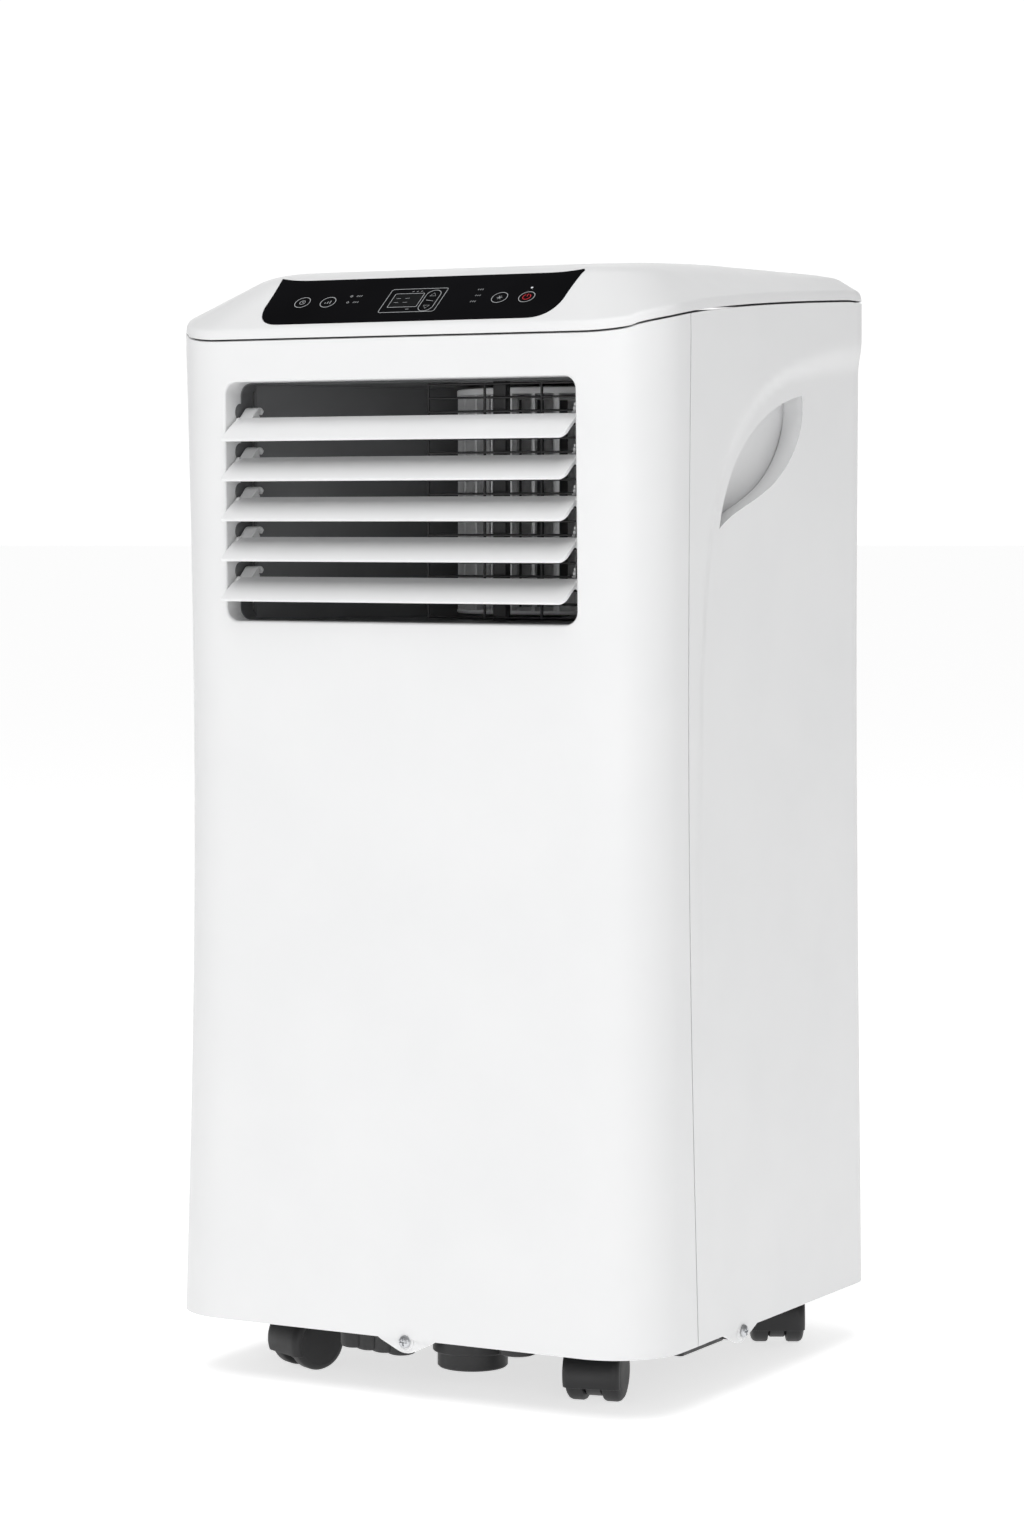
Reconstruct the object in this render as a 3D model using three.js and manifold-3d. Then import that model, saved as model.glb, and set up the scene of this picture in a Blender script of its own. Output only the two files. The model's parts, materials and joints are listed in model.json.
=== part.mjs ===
// Portable air conditioner: a free-standing cabinet on four twin-wheel casters.
// Millimetres. +Z is up, the front faces -Y, +X is to the right as seen from the front.
// The origin is on the floor, at the centre of the overall footprint.
import * as THREE from 'three';
import { mergeVertices } from 'three/addons/utils/BufferGeometryUtils.js';
import Module from 'manifold-3d';

const wasm = await Module();
wasm.setup();

// ---------------------------------------------------------------- driving dimensions
const OVERALL_HEIGHT = 703;
const OVERALL_DEPTH = 355;
const BODY_WIDTH = 348;
const BODY_DEPTH = 333;
const LOUVRE_PROUD = 6;
const BODY_FRONT = -OVERALL_DEPTH / 2 + LOUVRE_PROUD;
const BODY_REAR = BODY_FRONT + BODY_DEPTH;
const FRONT_RADIUS = 45;
const REAR_RADIUS = 30;
const SHELL_BOTTOM = 39.5;
const SEAM_FRONT = 653.5;
const SEAM_REAR = 684.5;
const WALL = 2.6;
const GAP = 0.3;
const WAIST_FRONT = 4.2;
const WAIST_REAR = 1.6;

// the seam under the lid: a slight rise round the front corners, a kink, then a curve up to the rear
const SEAM_KINK = { back: 10.5, rise: 2.95, reach: 279.5, power: 0.65 };

// the joint between the front and rear shells leans slightly
const SPLIT_TOP = -114;
const SPLIT_BOTTOM = -104;

// lid
const LIP_HEIGHT = 6.5;
const FACET_TOP = { y: -127, z: 694.5 };
const FACET_ANGLE = Math.atan2(FACET_TOP.z - SEAM_FRONT - LIP_HEIGHT, FACET_TOP.y - BODY_FRONT - 1);

// air outlet and louvres
const OUTLET = { halfWidth: 124.5, bottom: 478, top: 627.5, radius: 8, depth: 33 };
const LOUVRE_COUNT = 5;
const LOUVRE_PITCH = 25;
const LOUVRE_EDGE = { y: -OVERALL_DEPTH / 2, z: 490.4 };
const LOUVRE_CHORD = 26;
const LOUVRE_TILT = THREE.MathUtils.degToRad(34);
const LOUVRE_THICKNESS = 2.2;
const LOUVRE_TAIL = 3;
const LOUVRE_RISE = 1.4;
const LOUVRE_PIN = 2;
const LOUVRE_SHORTFALL = 2.5;
const LINK_X = 115.6;

// blower behind the outlet
const BLOWER = { x: 46, y: -22, radius: 76, bottom: 482, top: 624, blades: 30 };
const SCROLL_RADIUS = 90;
const SCROLL_WALL = 2.4;
const SCROLL_START = 150;

// rear openings, each {halfWidth, bottom, top}
const UPPER_INTAKE = { halfWidth: 126, bottom: 440, top: 642 };
const LOWER_INTAKE = { halfWidth: 126, bottom: 84, top: 232 };
const EXHAUST = { z: 326, radius: 72, wall: 3, reach: 16 };
const DECK_Z = 410;

// casters
const CASTER_PLACES = [
  { name: 'front_left', x: -110, y: -117, turn: -26 },
  { name: 'front_right', x: 108, y: -117, turn: 14 },
  { name: 'rear_left', x: -130, y: 101, turn: 24 },
  { name: 'rear_right', x: 130, y: 101, turn: 28 },
];
const CASTER = {
  wheelRadius: 18, wheelWidth: 12, web: 11, trail: 13, stem: 5.5, neck: 8.5, pinRadius: 2.2,
  hoodGap: 1, hoodWall: 1.6, hoodRear: 8,
};
const PAN_UNDERSIDE = 40.2;

const FINISH = {
  white: { color: 0xeeeeee, roughness: 0.42, metalness: 0 },
  glossBlack: { color: 0x0a0a0c, roughness: 0.08, metalness: 0 },
  window: { color: 0x1b2022, roughness: 0.1, metalness: 0 },
  black: { color: 0x1c1c1e, roughness: 0.55, metalness: 0 },
  darkGrey: { color: 0x2b2c2e, roughness: 0.6, metalness: 0 },
  lightGrey: { color: 0x9c9ea0, roughness: 0.5, metalness: 0 },
  steel: { color: 0x9a9da0, roughness: 0.35, metalness: 1 },
  zinc: { color: 0xa8abad, roughness: 0.45, metalness: 1 },
  copper: { color: 0xb4693f, roughness: 0.35, metalness: 1 },
  aluminium: { color: 0xb9bcbf, roughness: 0.45, metalness: 1 },
  board: { color: 0x1f5a35, roughness: 0.6, metalness: 0 },
  net: { color: 0x3a3c3f, roughness: 0.8, metalness: 0 },
};

// ---------------------------------------------------------------- helpers
const unit = new THREE.Group();

function solidOf(geometry) {
  const bare = geometry.clone();
  bare.deleteAttribute('normal');
  bare.deleteAttribute('uv');
  const merged = mergeVertices(bare, 1e-4);
  return new wasm.Manifold(new wasm.Mesh({
    numProp: 3,
    vertProperties: merged.attributes.position.array,
    triVerts: new Uint32Array(merged.index.array),
  }));
}

function geometryOf(solid) {
  const mesh = solid.getMesh();
  const geometry = new THREE.BufferGeometry();
  geometry.setAttribute('position', new THREE.BufferAttribute(new Float32Array(mesh.vertProperties), 3));
  geometry.setIndex(new THREE.BufferAttribute(new Uint32Array(mesh.triVerts), 1));
  geometry.computeVertexNormals();
  return geometry;
}

const join = (first, ...others) => others.reduce((sum, next) => sum.add(next), first);
const cut = (first, ...others) => others.reduce((rest, next) => rest.subtract(next), first);

function addMesh(name, solid, finish, parent = unit, place = [0, 0, 0]) {
  const mesh = new THREE.Mesh(geometryOf(solid), new THREE.MeshStandardMaterial(FINISH[finish]));
  mesh.name = name;
  mesh.position.set(...place);
  parent.add(mesh);
  return mesh;
}

// a box given by its lowest and highest corners
function block(low, high) {
  const geometry = new THREE.BoxGeometry(high[0] - low[0], high[1] - low[1], high[2] - low[2]);
  geometry.translate((low[0] + high[0]) / 2, (low[1] + high[1]) / 2, (low[2] + high[2]) / 2);
  return solidOf(geometry);
}

// a round bar from one height to another along the named axis
function bar(axis, radius, from, to, centre = [0, 0], sides = 16) {
  const geometry = new THREE.CylinderGeometry(radius, radius, to - from, sides);
  geometry.translate(0, (from + to) / 2, 0);
  if (axis === 'x') geometry.rotateZ(-Math.PI / 2).translate(0, centre[0], centre[1]);
  if (axis === 'y') geometry.translate(centre[0], 0, centre[1]);
  if (axis === 'z') geometry.rotateX(Math.PI / 2).translate(centre[0], centre[1], 0);
  return solidOf(geometry);
}

// a turned piece: profile points are [radius, height], and the axis is Z
function turned(profile, segments = 20) {
  const points = profile.map(([r, h]) => new THREE.Vector2(r, h));
  return solidOf(new THREE.LatheGeometry(points, segments).rotateX(Math.PI / 2));
}

function extrude(shape, depth, curveSegments = 8, steps = 1) {
  return new THREE.ExtrudeGeometry(shape, { depth, steps, curveSegments, bevelEnabled: false });
}

// a shape drawn in X and Z, extruded along Y between two depths
function extrudeAlongY(shape, from, to, curveSegments = 8) {
  const geometry = extrude(shape, to - from, curveSegments);
  geometry.rotateX(Math.PI / 2).translate(0, to, 0);
  return solidOf(geometry);
}

// a shape drawn in Y and Z, extruded along X between two positions
function extrudeAlongX(shape, from, to, curveSegments = 8) {
  const geometry = extrude(shape, to - from, curveSegments);
  const toAxes = new THREE.Matrix4().set(0, 0, 1, from, 1, 0, 0, 0, 0, 1, 0, 0, 0, 0, 0, 1);
  geometry.applyMatrix4(toAxes);
  return solidOf(geometry);
}

function polygon(points) {
  return new THREE.Shape(points.map(([a, b]) => new THREE.Vector2(a, b)));
}

function circle(x, y, radius) {
  return new THREE.Shape().absarc(x, y, radius, 0, Math.PI * 2);
}

// a rectangle with one corner radius along its low edge and another along its high edge
function roundedRectangle(x0, x1, y0, y1, lowRadius, highRadius = lowRadius) {
  const shape = new THREE.Shape();
  shape.moveTo(x0 + lowRadius, y0);
  shape.lineTo(x1 - lowRadius, y0);
  shape.absarc(x1 - lowRadius, y0 + lowRadius, lowRadius, -Math.PI / 2, 0);
  shape.lineTo(x1, y1 - highRadius);
  shape.absarc(x1 - highRadius, y1 - highRadius, highRadius, 0, Math.PI / 2);
  shape.lineTo(x0 + highRadius, y1);
  shape.absarc(x0 + highRadius, y1 - highRadius, highRadius, Math.PI / 2, Math.PI);
  shape.lineTo(x0, y0 + lowRadius);
  shape.absarc(x0 + lowRadius, y0 + lowRadius, lowRadius, Math.PI, Math.PI * 1.5);
  return shape;
}

// a pipe of eight sides that follows a smooth route
function pipe(route, radius, steps) {
  const path = new THREE.CatmullRomCurve3(route.map((p) => new THREE.Vector3(...p)), false, 'centripetal');
  const options = { extrudePath: path, steps, curveSegments: 2, bevelEnabled: false };
  return solidOf(new THREE.ExtrudeGeometry(circle(0, 0, radius), options));
}

// moves every vertex of a geometry by a function of its place
function reshape(geometry, move) {
  const position = geometry.attributes.position;
  const point = new THREE.Vector3();
  for (let i = 0; i < position.count; i += 1) {
    point.fromBufferAttribute(position, i);
    move(point);
    position.setXYZ(i, point.x, point.y, point.z);
  }
  return geometry;
}

// ---------------------------------------------------------------- cabinet form
// how far back a place is: 0 at the front face, 1 at the rear face
const backness = (y) => THREE.MathUtils.clamp((y - BODY_FRONT) / BODY_DEPTH, 0, 1);

// the lid seam is level across the front and climbs along each side
function seamHeight(y) {
  const k = SEAM_KINK;
  const back = y - BODY_FRONT;
  if (back < k.back) return SEAM_FRONT + (k.rise * Math.max(0, back)) / k.back;
  const t = Math.min(1, (back - k.back) / k.reach);
  const climb = SEAM_REAR - SEAM_FRONT - k.rise;
  return SEAM_FRONT + k.rise + climb * (1.35 * Math.pow(t, k.power) - 0.35 * t);
}

// the walls draw in slightly at mid height, more at the front than at the rear
function drawIn(point) {
  const rise = (point.z - SHELL_BOTTOM) / (SEAM_FRONT - SHELL_BOTTOM);
  const bow = Math.sin(Math.PI * THREE.MathUtils.clamp(rise, 0, 1));
  const v = backness(point.y);
  const side = THREE.MathUtils.lerp(WAIST_FRONT, WAIST_REAR, v) * bow;
  point.x *= 1 - side / (BODY_WIDTH / 2);
  point.y += WAIST_FRONT * (1 - v) * bow;
}

function bodyOutline(inset) {
  return roundedRectangle(
    -BODY_WIDTH / 2 + inset, BODY_WIDTH / 2 - inset,
    BODY_FRONT + inset, BODY_REAR - inset,
    FRONT_RADIUS - inset, REAR_RADIUS - inset,
  );
}

// the cabinet as a solid block, from the bottom edge to a surface above
function bodyBlock(inset, bottom, topAt, steps) {
  const geometry = extrude(bodyOutline(inset), 1, 5, steps);
  return solidOf(reshape(geometry, (point) => {
    point.z = THREE.MathUtils.lerp(bottom, topAt(point.y), point.z);
    drawIn(point);
  }));
}

// everything behind (or ahead of) the leaning joint between the two shells
function splitSide(behind) {
  const lean = (SPLIT_TOP - SPLIT_BOTTOM) / (SEAM_FRONT - SHELL_BOTTOM);
  const edge = (z) => SPLIT_BOTTOM + lean * (z - SHELL_BOTTOM) + (behind ? GAP / 2 : -GAP / 2);
  const far = behind ? 300 : -300;
  return extrudeAlongX(polygon([[edge(0), 0], [far, 0], [far, 800], [edge(800), 800]]), -200, 200);
}

function shellWall() {
  const outer = bodyBlock(0, SHELL_BOTTOM, (y) => seamHeight(y) - GAP / 2, 6);
  const inner = bodyBlock(WALL, SHELL_BOTTOM - 5, (y) => seamHeight(y) + 5, 6);
  return cut(outer, inner);
}

// ---------------------------------------------------------------- front shell
function outletShape(grow) {
  const w = OUTLET.halfWidth + grow;
  return roundedRectangle(-w, w, OUTLET.bottom - grow, OUTLET.top + grow, OUTLET.radius + grow);
}

// a pointed lug under the shell's edge, drawn across a width, that a screw holds to the base pan
function lugShape(centre, halfWidth) {
  return polygon([
    [centre - halfWidth, SHELL_BOTTOM + 3], [centre - halfWidth, SHELL_BOTTOM],
    [centre - 4, SHELL_BOTTOM - 9], [centre + 4, SHELL_BOTTOM - 9],
    [centre + halfWidth, SHELL_BOTTOM], [centre + halfWidth, SHELL_BOTTOM + 3],
  ]);
}

const LUG_SCREW_Z = SHELL_BOTTOM - 1.5;
const FRONT_LUG_X = 7;
const SIDE_LUG_Y = -41;
const LUG_SCREW_RADIUS = 2;

function louvrePivot(index) {
  const reach = LOUVRE_CHORD - LOUVRE_TAIL;
  const y = LOUVRE_EDGE.y + reach * Math.cos(LOUVRE_TILT) + LOUVRE_RISE * Math.sin(LOUVRE_TILT);
  const z = LOUVRE_EDGE.z + reach * Math.sin(LOUVRE_TILT) - LOUVRE_RISE * Math.cos(LOUVRE_TILT);
  return { y, z: z + LOUVRE_PITCH * index };
}

function makeFrontShell() {
  const front = BODY_FRONT + WALL;
  let shell = shellWall().intersect(splitSide(false));
  shell = join(shell, extrudeAlongY(outletShape(WALL), front - 0.5, BODY_FRONT + OUTLET.depth, 3));
  shell = cut(shell, extrudeAlongY(outletShape(0), BODY_FRONT - 20, BODY_FRONT + OUTLET.depth + 5, 3));
  for (let i = 0; i < LOUVRE_COUNT; i += 1) {
    const pivot = louvrePivot(i);
    shell = cut(shell, bar('x', LOUVRE_PIN + GAP, -140, 140, [pivot.y, pivot.z], 8));
  }
  const lugFront = BODY_FRONT + 0.2;
  const lug = extrudeAlongY(lugShape(FRONT_LUG_X, 21), lugFront, lugFront + 2.2);
  const hole = bar('y', LUG_SCREW_RADIUS + GAP, BODY_FRONT - 5, BODY_FRONT + 8, [FRONT_LUG_X, LUG_SCREW_Z], 8);
  addMesh('front_shell', cut(join(shell, lug), hole), 'white');
}

// ---------------------------------------------------------------- rear shell
// the mouth of the hand grip, drawn in Y and Z, shifted by the given amounts
function gripShape(grow, lift = 0) {
  const shape = new THREE.Shape();
  const place = (y, z) => [y, z + lift];
  shape.moveTo(...place(-68 - grow, 533 - grow));
  shape.bezierCurveTo(...place(-60 - grow, 575 + grow), ...place(-22, 612 + grow), ...place(51, 622 + grow));
  shape.bezierCurveTo(...place(60 + grow, 600), ...place(38 + grow, 574 - grow), ...place(4, 560 - grow));
  shape.bezierCurveTo(...place(-26, 548 - grow), ...place(-50, 545 - grow), ...place(-68 - grow, 533 - grow));
  return shape;
}

const GRIP = { depth: 19, undercut: 8, undercutFrom: 6, wall: 2.2 };

function gripSolid(side, grow, inner) {
  const face = BODY_WIDTH / 2;
  const mouth = face + (inner ? 5 : -WALL - 2.5);
  const floor = face - GRIP.depth - grow;
  const pocket = extrudeAlongX(gripShape(grow), floor, mouth, 6);
  const lifted = extrudeAlongX(gripShape(grow, GRIP.undercut), floor, face - GRIP.undercutFrom + grow, 6);
  const both = join(pocket, lifted);
  return side > 0 ? both : both.mirror([1, 0, 0]);
}

function openingShape(opening, grow, radius = 10) {
  const w = opening.halfWidth + grow;
  return roundedRectangle(-w, w, opening.bottom - grow, opening.top + grow, radius + grow);
}

const UPPER_DRAIN = { name: 'upper_drain_cap', x: 118, z: 408 };
const LOWER_DRAIN = { name: 'lower_drain_cap', x: 60, z: 58 };
const DRAINS = [UPPER_DRAIN, LOWER_DRAIN];
const DRAIN_RADIUS = 9;
const CORD_GLAND = { x: -120, z: 60, radius: 8 };

function makeRearShell() {
  let shell = shellWall().intersect(splitSide(true));
  for (const side of [-1, 1]) {
    const pocket = gripSolid(side, GRIP.wall, false).intersect(bodyBlock(0.8, SHELL_BOTTOM, seamHeight, 1));
    shell = join(shell, pocket);
    shell = cut(shell, gripSolid(side, 0, true));
    const lug = extrudeAlongX(lugShape(SIDE_LUG_Y, 25), BODY_WIDTH / 2 - 2.6, BODY_WIDTH / 2 - 0.4);
    shell = join(shell, side > 0 ? lug : lug.mirror([1, 0, 0]));
  }
  const through = [BODY_REAR - 12, BODY_REAR + 12];
  const holes = [
    extrudeAlongY(openingShape(UPPER_INTAKE, 0), ...through),
    extrudeAlongY(openingShape(LOWER_INTAKE, 0), ...through),
    bar('y', EXHAUST.radius + EXHAUST.wall + GAP, ...through, [0, EXHAUST.z], 32),
    bar('x', LUG_SCREW_RADIUS + GAP, -200, 200, [SIDE_LUG_Y, LUG_SCREW_Z], 8),
    bar('y', CORD_GLAND.radius + GAP, ...through, [CORD_GLAND.x, CORD_GLAND.z], 16),
  ];
  for (const drain of DRAINS) {
    holes.push(bar('y', DRAIN_RADIUS + GAP, ...through, [drain.x, drain.z], 16));
  }
  addMesh('rear_shell', cut(shell, ...holes), 'white');
}

// the pointed lugs' screws: a pan head with a cross slot, on a short shank
function lugScrew(name, x, y, turn) {
  const head = join(bar('y', 4, -2, 0, [0, 0], 12), bar('y', LUG_SCREW_RADIUS, -0.5, 6, [0, 0], 8));
  const slotLong = block([-2.6, -3, -0.5], [2.6, -0.9, 0.5]);
  const slotTall = block([-0.5, -3, -2.6], [0.5, -0.9, 2.6]);
  const mesh = addMesh(name, cut(head, slotLong, slotTall), 'zinc', unit, [x, y, LUG_SCREW_Z]);
  mesh.rotation.z = turn;
}

function makeLugScrews() {
  lugScrew('lug_screw_front', FRONT_LUG_X, BODY_FRONT - 0.2, 0);
  lugScrew('lug_screw_right', BODY_WIDTH / 2 + 0.2, SIDE_LUG_Y, Math.PI / 2);
  lugScrew('lug_screw_left', -BODY_WIDTH / 2 - 0.2, SIDE_LUG_Y, -Math.PI / 2);
}

// ---------------------------------------------------------------- lid
// rings of the lid from the seam up: the foot, the lip, the top of the front facet, then the crowned top
// each says how far it is drawn in: at the sides near the front and near the rear, at the front, at the rear
const FACET_DEPTH = FACET_TOP.y - BODY_FRONT;
const LID_RINGS = [
  { halfFront: 0, halfRear: 0, front: 0, rear: 0, height: (y) => seamHeight(y) + GAP / 2 },
  { halfFront: 0.8, halfRear: 0.8, front: 1, rear: 1, height: (y) => seamHeight(y) + LIP_HEIGHT },
  {
    halfFront: 37, halfRear: 12, front: FACET_DEPTH, rear: 14,
    height: (y) => THREE.MathUtils.lerp(FACET_TOP.z, OVERALL_HEIGHT - 2.4, backness(y)),
  },
  {
    halfFront: 50, halfRear: 27, front: FACET_DEPTH + 16, rear: 30,
    height: (y) => THREE.MathUtils.lerp(OVERALL_HEIGHT - 4.5, OVERALL_HEIGHT, Math.min(1, 2 * backness(y))),
  },
];

function lidBlock(inset, drop) {
  const steps = LID_RINGS.length - 1;
  const geometry = extrude(bodyOutline(inset), steps, 5, steps);
  return solidOf(reshape(geometry, (point) => {
    const level = Math.round(point.z);
    const ring = LID_RINGS[level];
    const v = backness(point.y);
    const pull = THREE.MathUtils.lerp(ring.halfFront, ring.halfRear, v);
    const height = ring.height(point.y) - drop;
    point.x *= 1 - pull / (BODY_WIDTH / 2);
    point.y = THREE.MathUtils.lerp(point.y + ring.front, point.y - ring.rear, v);
    point.z = level === 0 ? height - (drop > 0 ? 8 : 0) : height;
  }));
}

// the control panel's own axes: X across, Y up the facet, Z out of it
const panel = new THREE.Group();
panel.position.set(0, BODY_FRONT + 1, SEAM_FRONT + LIP_HEIGHT);
panel.rotation.x = FACET_ANGLE;
unit.add(panel);
panel.updateMatrixWorld(true);

const OVERLAY = {
  halfTop: 108.5, halfBottom: 88, low: 5, high: 51.5, tip: 54.6, thickness: 1.6, proud: 0.5,
};
const KEY = { radius: 5.6, height: 1.8 };
const KEYS = [
  { name: 'key_timer', x: -80.5, y: 27.5 },
  { name: 'key_speed', x: -61.5, y: 27 },
  { name: 'key_up', x: 12.6, y: 31.5, radius: 4.3 },
  { name: 'key_down', x: 12.6, y: 19.5, radius: 4.3 },
  { name: 'key_mode', x: 61.5, y: 26.5 },
  { name: 'key_power', x: 80.5, y: 26.3 },
];
const WINDOW = { x0: -14.5, x1: 5, y0: 20, y1: 33 };

function overlayShape(grow) {
  const { halfTop, halfBottom, low, high, tip } = OVERLAY;
  const shape = new THREE.Shape();
  shape.moveTo(-halfTop - grow, tip + grow);
  shape.quadraticCurveTo(-halfTop + 10, high + grow, -halfTop + 24, high + grow);
  shape.lineTo(halfTop - 24, high + grow);
  shape.quadraticCurveTo(halfTop - 10, high + grow, halfTop + grow, tip + grow);
  shape.quadraticCurveTo(halfTop - 2 + grow, 36, halfTop - 2 + grow, 24);
  shape.quadraticCurveTo(halfTop - 4 + grow, low - grow, halfBottom, low - grow);
  shape.lineTo(-halfBottom, low - grow);
  shape.quadraticCurveTo(-halfTop + 4 - grow, low - grow, -halfTop + 2 - grow, 24);
  shape.quadraticCurveTo(-halfTop + 2 - grow, 36, -halfTop - grow, tip + grow);
  return shape;
}

function inPanel(solid) {
  return solid.transform(panel.matrixWorld.toArray());
}

function makeLid() {
  const outer = lidBlock(0, 0);
  const inner = lidBlock(WALL, WALL);
  const seat = inPanel(solidOf(extrude(overlayShape(GAP), 12, 4).translate(0, 0, -9)));
  addMesh('top_lid', cut(cut(outer, inner), seat), 'white');
}

function makeControlPanel() {
  const base = OVERLAY.proud - OVERLAY.thickness;
  let overlay = solidOf(extrude(overlayShape(0), OVERLAY.thickness, 4).translate(0, 0, base));
  for (const key of KEYS) {
    overlay = cut(overlay, bar('z', (key.radius ?? KEY.radius) + GAP, -10, 10, [key.x, key.y], 16));
  }
  const w = WINDOW;
  overlay = cut(overlay, block([w.x0 - GAP, w.y0 - GAP, -10], [w.x1 + GAP, w.y1 + GAP, 10]));
  addMesh('control_overlay', overlay, 'glossBlack', panel);
  const pane = block([w.x0, w.y0, base - 2.4], [w.x1, w.y1, OVERLAY.proud]);
  addMesh('display_window', pane, 'window', panel);
  for (const key of KEYS) {
    const cap = bar('z', key.radius ?? KEY.radius, -KEY.height, 0, [0, 0], 16);
    addMesh(key.name, cap, 'glossBlack', panel, [key.x, key.y, OVERLAY.proud]);
  }
  addMesh('control_board', block([-96, 9, -8], [96, 46, -6.4]), 'board', panel);
}

// ---------------------------------------------------------------- louvres
// in the louvre's own frame the pivot is at the origin and the blade is drawn in Y and Z
function bladeShape() {
  const along = (d, off) => [
    -d * Math.cos(LOUVRE_TILT) - off * Math.sin(LOUVRE_TILT),
    -d * Math.sin(LOUVRE_TILT) + off * Math.cos(LOUVRE_TILT),
  ];
  const rear = -LOUVRE_TAIL;
  const reach = LOUVRE_CHORD - LOUVRE_TAIL;
  const half = LOUVRE_THICKNESS / 2;
  const rise = LOUVRE_RISE;
  return polygon([
    along(rear, rise + half - 0.4), along(reach * 0.5, rise + half + 0.4), along(reach - 0.6, rise + half),
    along(reach, rise), along(reach - 0.6, rise - half), along(reach * 0.5, rise - half + 0.4),
    along(rear, rise - half - 0.4),
  ]);
}

const LINK_PIN = { y: 11, z: 6.5, radius: 1.6 };

function makeLouvre(index) {
  const pivot = louvrePivot(index);
  const half = OUTLET.halfWidth - 1.4;
  let louvre = extrudeAlongX(bladeShape(), -half, half - LOUVRE_SHORTFALL);
  for (const side of [-1, 1]) {
    const edge = side * half;
    const [a, b] = side > 0 ? [edge - 4, edge] : [edge, edge + 2];
    louvre = join(louvre, bar('x', 3.6, a, b, [0, 0], 10));
    const [c, d] = side > 0 ? [edge - 1, edge + 3.2] : [edge - 3.2, edge + 1];
    louvre = join(louvre, bar('x', LOUVRE_PIN, c, d, [0, 0], 8));
  }
  // a bracket near each end carries the pin for the tie bar
  for (const x of [-LINK_X, LINK_X]) {
    const tip = LINK_PIN;
    const arm = polygon([
      [-2, 1], [3, -1.5], [tip.y + 2.4, tip.z - 2.4], [tip.y + 2.4, tip.z + 2.4], [tip.y - 2, tip.z + 2.4],
    ]);
    const [a, b] = x > 0 ? [x - 4.4, x - 2] : [x - 1.2, x + 1.2];
    louvre = join(louvre, extrudeAlongX(arm, a, b));
  }
  const pin = bar('x', LINK_PIN.radius, LINK_X - 2.6, LINK_X + 2.4, [LINK_PIN.y, LINK_PIN.z], 8);
  addMesh(`louvre_${index + 1}`, join(louvre, pin), 'white', unit, [0, pivot.y, pivot.z]);
}

// the tie bar joins the five louvres at their right ends
function makeLouvreLink() {
  const low = louvrePivot(0);
  const high = louvrePivot(LOUVRE_COUNT - 1);
  const y = low.y + LINK_PIN.y;
  const bottom = low.z + LINK_PIN.z - 4;
  const top = high.z + LINK_PIN.z + 4;
  let link = block([LINK_X - 1.7, y - 3.4, bottom], [LINK_X + 1.4, y + 3.4, top]);
  for (let i = 0; i < LOUVRE_COUNT; i += 1) {
    const z = louvrePivot(i).z + LINK_PIN.z;
    link = cut(link, bar('x', LINK_PIN.radius + GAP, LINK_X - 10, LINK_X + 10, [y, z], 8));
  }
  addMesh('louvre_link', link, 'black');
}

// ---------------------------------------------------------------- air outlet duct
const GUARD = {
  left: -1, right: 121, bottom: 480, top: 626, y: -131, thickness: 1.6, wire: 1.8, columns: 3, rows: 17,
};

// a wire guard over the right half of the outlet: a plate with a grid of holes
function makeOutletGuard() {
  const g = GUARD;
  const stepX = (g.right - g.left - g.wire) / g.columns;
  const stepZ = (g.top - g.bottom - g.wire) / g.rows;
  let guard = block([g.left, g.y, g.bottom], [g.right, g.y + g.thickness, g.top]);
  for (let i = 0; i < g.columns; i += 1) {
    for (let k = 0; k < g.rows; k += 1) {
      const x = g.left + g.wire + i * stepX;
      const z = g.bottom + g.wire + k * stepZ;
      const far = [x + stepX - g.wire, g.y + g.thickness + 1, z + stepZ - g.wire];
      guard = cut(guard, block([x, g.y - 1, z], far));
    }
  }
  addMesh('outlet_guard', guard, 'black');
}

// the scroll's wall in plan: a straight side from the outlet's left, round the wheel, and out at the right
function scrollPlan(radius, frontY) {
  const { x, y } = BLOWER;
  const start = THREE.MathUtils.degToRad(SCROLL_START);
  const tangent = new THREE.Vector2(-Math.sin(start), Math.cos(start)).multiplyScalar(-1);
  const from = new THREE.Vector2(x + radius * Math.cos(start), y + radius * Math.sin(start));
  const reach = (frontY - from.y) / -Math.abs(tangent.y);
  const shape = new THREE.Shape();
  shape.moveTo(from.x - Math.abs(tangent.x) * reach, frontY);
  shape.lineTo(from.x, from.y);
  shape.absarc(x, y, radius, start, 0, true);
  shape.lineTo(x + radius, frontY);
  return shape;
}

const DUCT_FRONT = BODY_FRONT + OUTLET.depth + 1;

function makeBlowerScroll() {
  const low = BLOWER.bottom - 6;
  const high = BLOWER.top + 5;
  const casing = extrude(scrollPlan(SCROLL_RADIUS, DUCT_FRONT), high - low, 10);
  const outer = solidOf(casing.translate(0, 0, low));
  const innerHeight = high - low - 2 * SCROLL_WALL;
  const inside = extrude(scrollPlan(SCROLL_RADIUS - SCROLL_WALL, DUCT_FRONT - 10), innerHeight, 10);
  const hollow = solidOf(inside.translate(0, 0, low + SCROLL_WALL));
  const inlet = bar('z', BLOWER.radius - 16, high - 10, high + 10, [BLOWER.x, BLOWER.y], 24);
  const motorHole = bar('z', 12, low - 10, low + 10, [BLOWER.x, BLOWER.y], 16);
  addMesh('blower_scroll', cut(outer, hollow, inlet, motorHole), 'darkGrey');
}

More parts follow.
